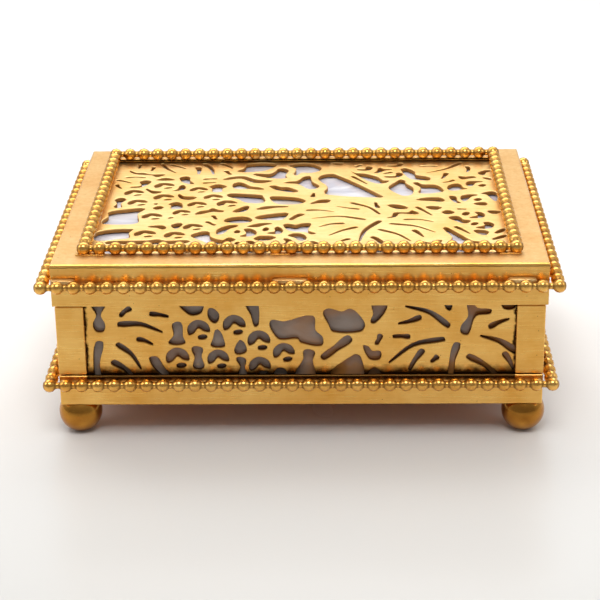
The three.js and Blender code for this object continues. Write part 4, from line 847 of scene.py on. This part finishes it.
lid_panel_low, lid_panel_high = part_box("lid_grille")
bm = pierced_plate(lid_panel_low.x / mm, lid_panel_high.x / mm, lid_panel_low.y / mm, lid_panel_high.y / mm,
                   lid_openings)
shift(bm, (0, 0, lid_panel_high.z))
lid_strokes = (brush_length, brush_width * 2, brush_width)
# painted shade darkens the walls of the openings, more deeply towards their back
gilt_lid_panel = gilt_bronze("brushed and pierced gilt bronze, lid", "#FFE0A0", "#F5C878", 0.42, lid_strokes,
                             hollow="cut", hollow_shade_tone="#AD773A", hollow_full=0.4, hollow_most=0.85)
place_piece(bm, "lid_pierced_panel", gilt_lid_panel, "lid", "gilt_pierced_bronze", "lid_grille",
            crease=None, even=False)

# ---- Lid glass --------------------------------------------------------------------------------
# One pane of pale slag glass under the lid's panel, milk white and faint blue stirred together.
# Six brass tabs, soldered inside the walls and bent under, hold it up.
pale_glass = slag_glass("pale slag glass", "#C0BEC9", "#E8E7EA", "#CFC3B6", (22, 9, 9), 0.04, 0.1)
finish_node("lid_glass", pale_glass)
for number in range(1, 7):
    finish_node(f"lid_glass_tab_{number}", plain_brass)

# ---- Beaded wire ------------------------------------------------------------------------------
# Strings of small balls on thin necks, drawn as one wire of gilt bronze, cut to length, soldered
# on and burnished. Cloth polishes the balls, and painted shade darkens the rings where they meet their necks.
bead_radius = 1.6 * mm
neck_radius = 0.75 * mm
bead_sides = 12
bead_roughness = 0.2
bead_latitudes = (-60, -30, 0, 30, 60)
ball_edge = max(bead_latitudes)
end_reach = 0.75 * bead_radius  # how near a trimmed string comes to the middle of the ball it meets
# painted shade darkens the rings where each ball meets its necks
gilt_burnished = gilt_bronze("burnished gilt bronze wire", "#F2BF69", "#D99B45", bead_roughness, (3, 3, 3),
                             0.001, hollow="crevice", hollow_shade_tone="#5A3716", hollow_full=1, hollow_most=0.75)


def bead_string(length, spaces, trimmed):
    """A string along X, centred, from its first ball's middle to its last one's. A trimmed string
    has no ball of its own at either end, and its necks run into the balls of those that it meets."""
    bm = bmesh.new()
    crevice = bm.verts.layers.float.new("crevice")
    pitch = length / spaces
    first, last = (1, spaces - 1) if trimmed else (0, spaces)
    outline = []
    for ball in range(first, last + 1):
        for latitude in bead_latitudes:
            angle = math.radians(latitude)
            # the rings where a ball meets its necks, and a trimmed string's ends, get painted shade
            shaded = 1 if abs(latitude) == ball_edge else 0
            along = ball * pitch + bead_radius * math.sin(angle)
            outline.append((bead_radius * math.cos(angle), along, shaded))
        if ball < last:
            outline.append((neck_radius, (ball + 0.5) * pitch, 0))
    if trimmed:
        start, end = end_reach, length - end_reach
        outline = [(0, start, 1), (neck_radius, start, 1)] + outline + [(neck_radius, end, 1), (0, end, 1)]
    else:
        outline = [(0, -bead_radius, 0)] + outline + [(0, length + bead_radius, 0)]
    verts = []
    for radius, along, shaded in outline:
        vert = bm.verts.new((along - length / 2, 0, radius))
        vert[crevice] = shaded
        verts.append(vert)
    edges = [bm.edges.new(pair) for pair in zip(verts, verts[1:])]
    bmesh.ops.spin(bm, geom=verts + edges, axis=(1, 0, 0), cent=(0, 0, 0), steps=bead_sides,
                   angle=2 * math.pi, use_merge=True)
    bmesh.ops.remove_doubles(bm, verts=bm.verts, dist=0.001 * mm)
    bmesh.ops.recalc_face_normals(bm, faces=bm.faces)
    return bm


def beading(prefix, body, pitch, settle=0):
    """The four strings of one frame of beading, each over its own solid."""
    front_low, front_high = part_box(f"{prefix}_front_beading")
    back_low, back_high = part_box(f"{prefix}_back_beading")
    for side, turned in (("front", False), ("back", False), ("left", True), ("right", True)):
        cad_node = f"{prefix}_{side}_beading"
        low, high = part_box(cad_node)
        if turned:
            length = (back_low.y + back_high.y) / 2 - (front_low.y + front_high.y) / 2
        else:
            length = high.x - low.x - 2 * bead_radius
        bm = bead_string(length, round(length / pitch), turned)
        if turned:
            turn_about(bm, 90, "Z")
        shift(bm, (low + high) / 2 - Vector((0, 0, settle)))
        place_piece(bm, f"{prefix}_{side}_beads", gilt_burnished, body, "gilt_beading", cad_node,
                    crease=40, even=False)


wall_pitch = 3.75 * mm
window_pitch = 3.65 * mm
window_settle = 0.65 * mm      # the window's strings are pressed this far into the frame
beading("base", "body", wall_pitch)
beading("lid", "lid", wall_pitch)
beading("window", "lid", window_pitch, window_settle)

# ---- Repairs ----------------------------------------------------------------------------------
# Old soldered mends on the lid's front: three flat tabs that peep out under the window's front
# string, and three runs of solder between the wall and its beading. Filed and gilt over.
tab_thickness = 0.25 * mm
tab_ease = 0.1 * mm
tab_peep = 0.1 * mm            # how far a tab stands out in front of the string
tab_hidden = 1 * mm            # how far it stops short of the string's inner side
tab_spans = ((-51.3, -44.6), (-6.7, -2.2), (45.6, 50.6))         # mm, from left to right
solder_spans = ((-56.2, -50.9), (-6.1, 2.0), (47.0, 53.3))
solder_depth = 0.95 * mm       # half sizes of a run of solder
solder_height = 0.55 * mm
solder_inwards = 0.8 * mm      # its middle, behind the string's middle and below its top
solder_drop = 0.25 * mm
squareness = 0.55              # 1 would leave a run elliptical, and less makes it boxier
lumpiness = 0.12
lump_scale = 2.3
lump_shift = 7                 # between one run's lumps and the next one's
window_low, window_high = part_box("window_front_beading")
string_low, string_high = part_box("lid_front_beading")
solder_y = (string_low.y + string_high.y) / 2 + solder_inwards
solder_middle = Vector((0, solder_y, string_high.z - solder_drop))

for number, (left, right) in enumerate(tab_spans):
    bm = bmesh.new()
    block(bm, (left * mm, window_low.y - tab_peep, lid_high.z),
          (right * mm, window_high.y - tab_hidden, lid_high.z + tab_thickness))
    break_edges(bm, tab_ease)
    place_piece(bm, f"window_tab_{number + 1}", gilt_satin, "lid", "gilt_bronze")

for number, (left, right) in enumerate(solder_spans):
    bm = bmesh.new()
    bmesh.ops.create_icosphere(bm, subdivisions=4, radius=1)
    lumps_from = Vector((number * lump_shift, 0, 0))
    for vert in bm.verts:
        squared = Vector([math.copysign(abs(c) ** squareness, c) for c in vert.co])
        lumpy = 1 + lumpiness * noise.noise(vert.co * lump_scale + lumps_from)
        vert.co = squared * lumpy
    bmesh.ops.scale(bm, verts=bm.verts, vec=((right - left) / 2 * mm, solder_depth, solder_height))
    shift(bm, solder_middle + Vector(((left + right) / 2 * mm, 0, 0)))
    place_piece(bm, f"solder_run_{number + 1}", gilt_matte, "lid", "gilt_bronze", crease=60)

# ---- Hinges -----------------------------------------------------------------------------------
# Two small butt hinges behind the lid, filed from gilt bronze, each with two knuckles on the body
# and one on the lid, turning on a brass pin with peened heads.
hinge_ease = 0.12 * mm
for side in ("left", "right"):
    for part, body in (("body_leaf", "body"), ("lid_leaf", "lid")):
        cad_node = f"{side}_hinge_{part}"
        place_piece(eased_copy(cad_node, hinge_ease), f"{side}_hinge_{part}_filed", gilt_satin, body,
                    "gilt_bronze", cad_node)
    finish_node(f"{side}_hinge_pin", plain_brass)

# ---- Table and light --------------------------------------------------------------------------
# A plain white sheet with painted shade that greys it towards the viewer, a large soft light behind
# and above, a smaller one above the viewer, and a pale room that is dimmer towards the viewer.
table_half = 2.0
table_shade = "#F0EEEB"
table_shaded_tone = "#C8C6C2"         # painted shade: the sheet's colour towards the viewer, darker as if less light reached it
floor_shade_from = 0                  # metres along Y, where the sheet's painted shade starts and where it is full
floor_shade_to = -0.12
mottle_size = 60 * mm
front_glow = 0.29              # strength of the room towards the viewer
back_glow = 0.7                # and at the back
ceiling_glow = 0.15            # what the ceiling adds
bm = bmesh.new()
bmesh.ops.create_grid(bm, x_segments=1, y_segments=1, size=table_half)
mesh = bpy.data.meshes.new("table_top")
bm.to_mesh(mesh)
bm.free()
table_top = bpy.data.objects.new("table_top", mesh)
bpy.context.scene.collection.objects.link(table_top)
white_top, tree, place = new_material("white laminate")
mottle = node(tree, "TexNoise", {"Vector": place, "Scale": 1 / mottle_size, "Detail": 2})
sheen = node(tree, "MapRange", {"Value": mottle, "To Min": 0.22, "To Max": 0.3})
tree.links.new(sheen, tree.nodes["Principled BSDF"].inputs["Roughness"])
nearer = node(tree, "SeparateXYZ", {"Vector": place}, out="Y")
# painted shade: the sheet greys towards the viewer
floor_shade = node(tree, "MapRange", {
    "Value": nearer, "From Min": floor_shade_from, "From Max": floor_shade_to, "To Min": 0, "To Max": 1})
tone = node(tree, "Mix", {0: floor_shade, 6: shade(table_shade), 7: shade(table_shaded_tone)}, out=2, data_type="RGBA")
tree.links.new(tone, tree.nodes["Principled BSDF"].inputs["Base Color"])
mesh.materials.append(white_top)

room = bpy.data.worlds.new("pale room")
room.use_nodes = True
tree = room.node_tree
heading = node(tree, "TexCoord", out="Generated")
parts = node(tree, "SeparateXYZ", {"Vector": heading}).node.outputs
backwards = node(tree, "MapRange", {
    "Value": parts["Y"], "From Min": -0.6, "From Max": 0.5,
    "To Min": front_glow, "To Max": back_glow})
overhead = node(tree, "MapRange", {
    "Value": parts["Z"], "From Min": 0.25, "From Max": 0.9,
    "To Min": 0, "To Max": ceiling_glow})
strength = node(tree, "Math", {0: backwards, 1: overhead}, operation="ADD")
tree.links.new(strength, tree.nodes["Background"].inputs["Strength"])
tree.nodes["Background"].inputs["Color"].default_value = (1, 1, 1, 1)
bpy.context.scene.world = room

# name, place, what it points at, width, height, watts
softboxes = (
    ("overhead_softbox", (-0.1, 0.5, 0.75), (0, 0, 0), 1.1, 0.6, 5.0),
    ("front_softbox", (0, -0.42, 0.8), (0, 0, 0.02), 0.42, 0.3, 3.0),
    ("left_softbox", (-0.8, -0.1, 0.5), (0, 0, 0.02), 0.4, 0.4, 1.2),
    ("right_softbox", (0.85, -0.1, 0.5), (0, 0, 0.02), 0.4, 0.4, 0.8),
)
for name, place, target, width, height, watts in softboxes:
    light = bpy.data.lights.new(name, "AREA")
    light.shape = "RECTANGLE"
    light.size = width
    light.size_y = height
    light.energy = watts
    lamp = bpy.data.objects.new(name, light)
    lamp.location = place
    lamp.rotation_euler = (Vector(target) - Vector(place)).to_track_quat("-Z", "Y").to_euler()
    bpy.context.scene.collection.objects.link(lamp)

bpy.context.scene.view_settings.view_transform = "Standard"
bpy.context.scene.view_settings.look = "None"

# ---- Camera -----------------------------------------------------------------------------------
# Straight in front and a little above, with a long lens.
camera_place = Vector((8.78, -427.94, 196.08)) * mm
camera_yaw = -0.0224
camera_pitch = 0.3959
camera_roll = -0.0127
camera_data = bpy.data.cameras.new("camera")
camera_data.sensor_width = 36
camera_data.lens = 110.76
camera_data.clip_start = 0.01
camera = bpy.data.objects.new("camera", camera_data)
aim = (Matrix.Rotation(-camera_yaw, 4, "Z") @ Matrix.Rotation(math.pi / 2 - camera_pitch, 4, "X")
       @ Matrix.Rotation(camera_roll, 4, "Z"))
camera.matrix_world = Matrix.Translation(camera_place) @ aim
bpy.context.scene.collection.objects.link(camera)
bpy.context.scene.camera = camera
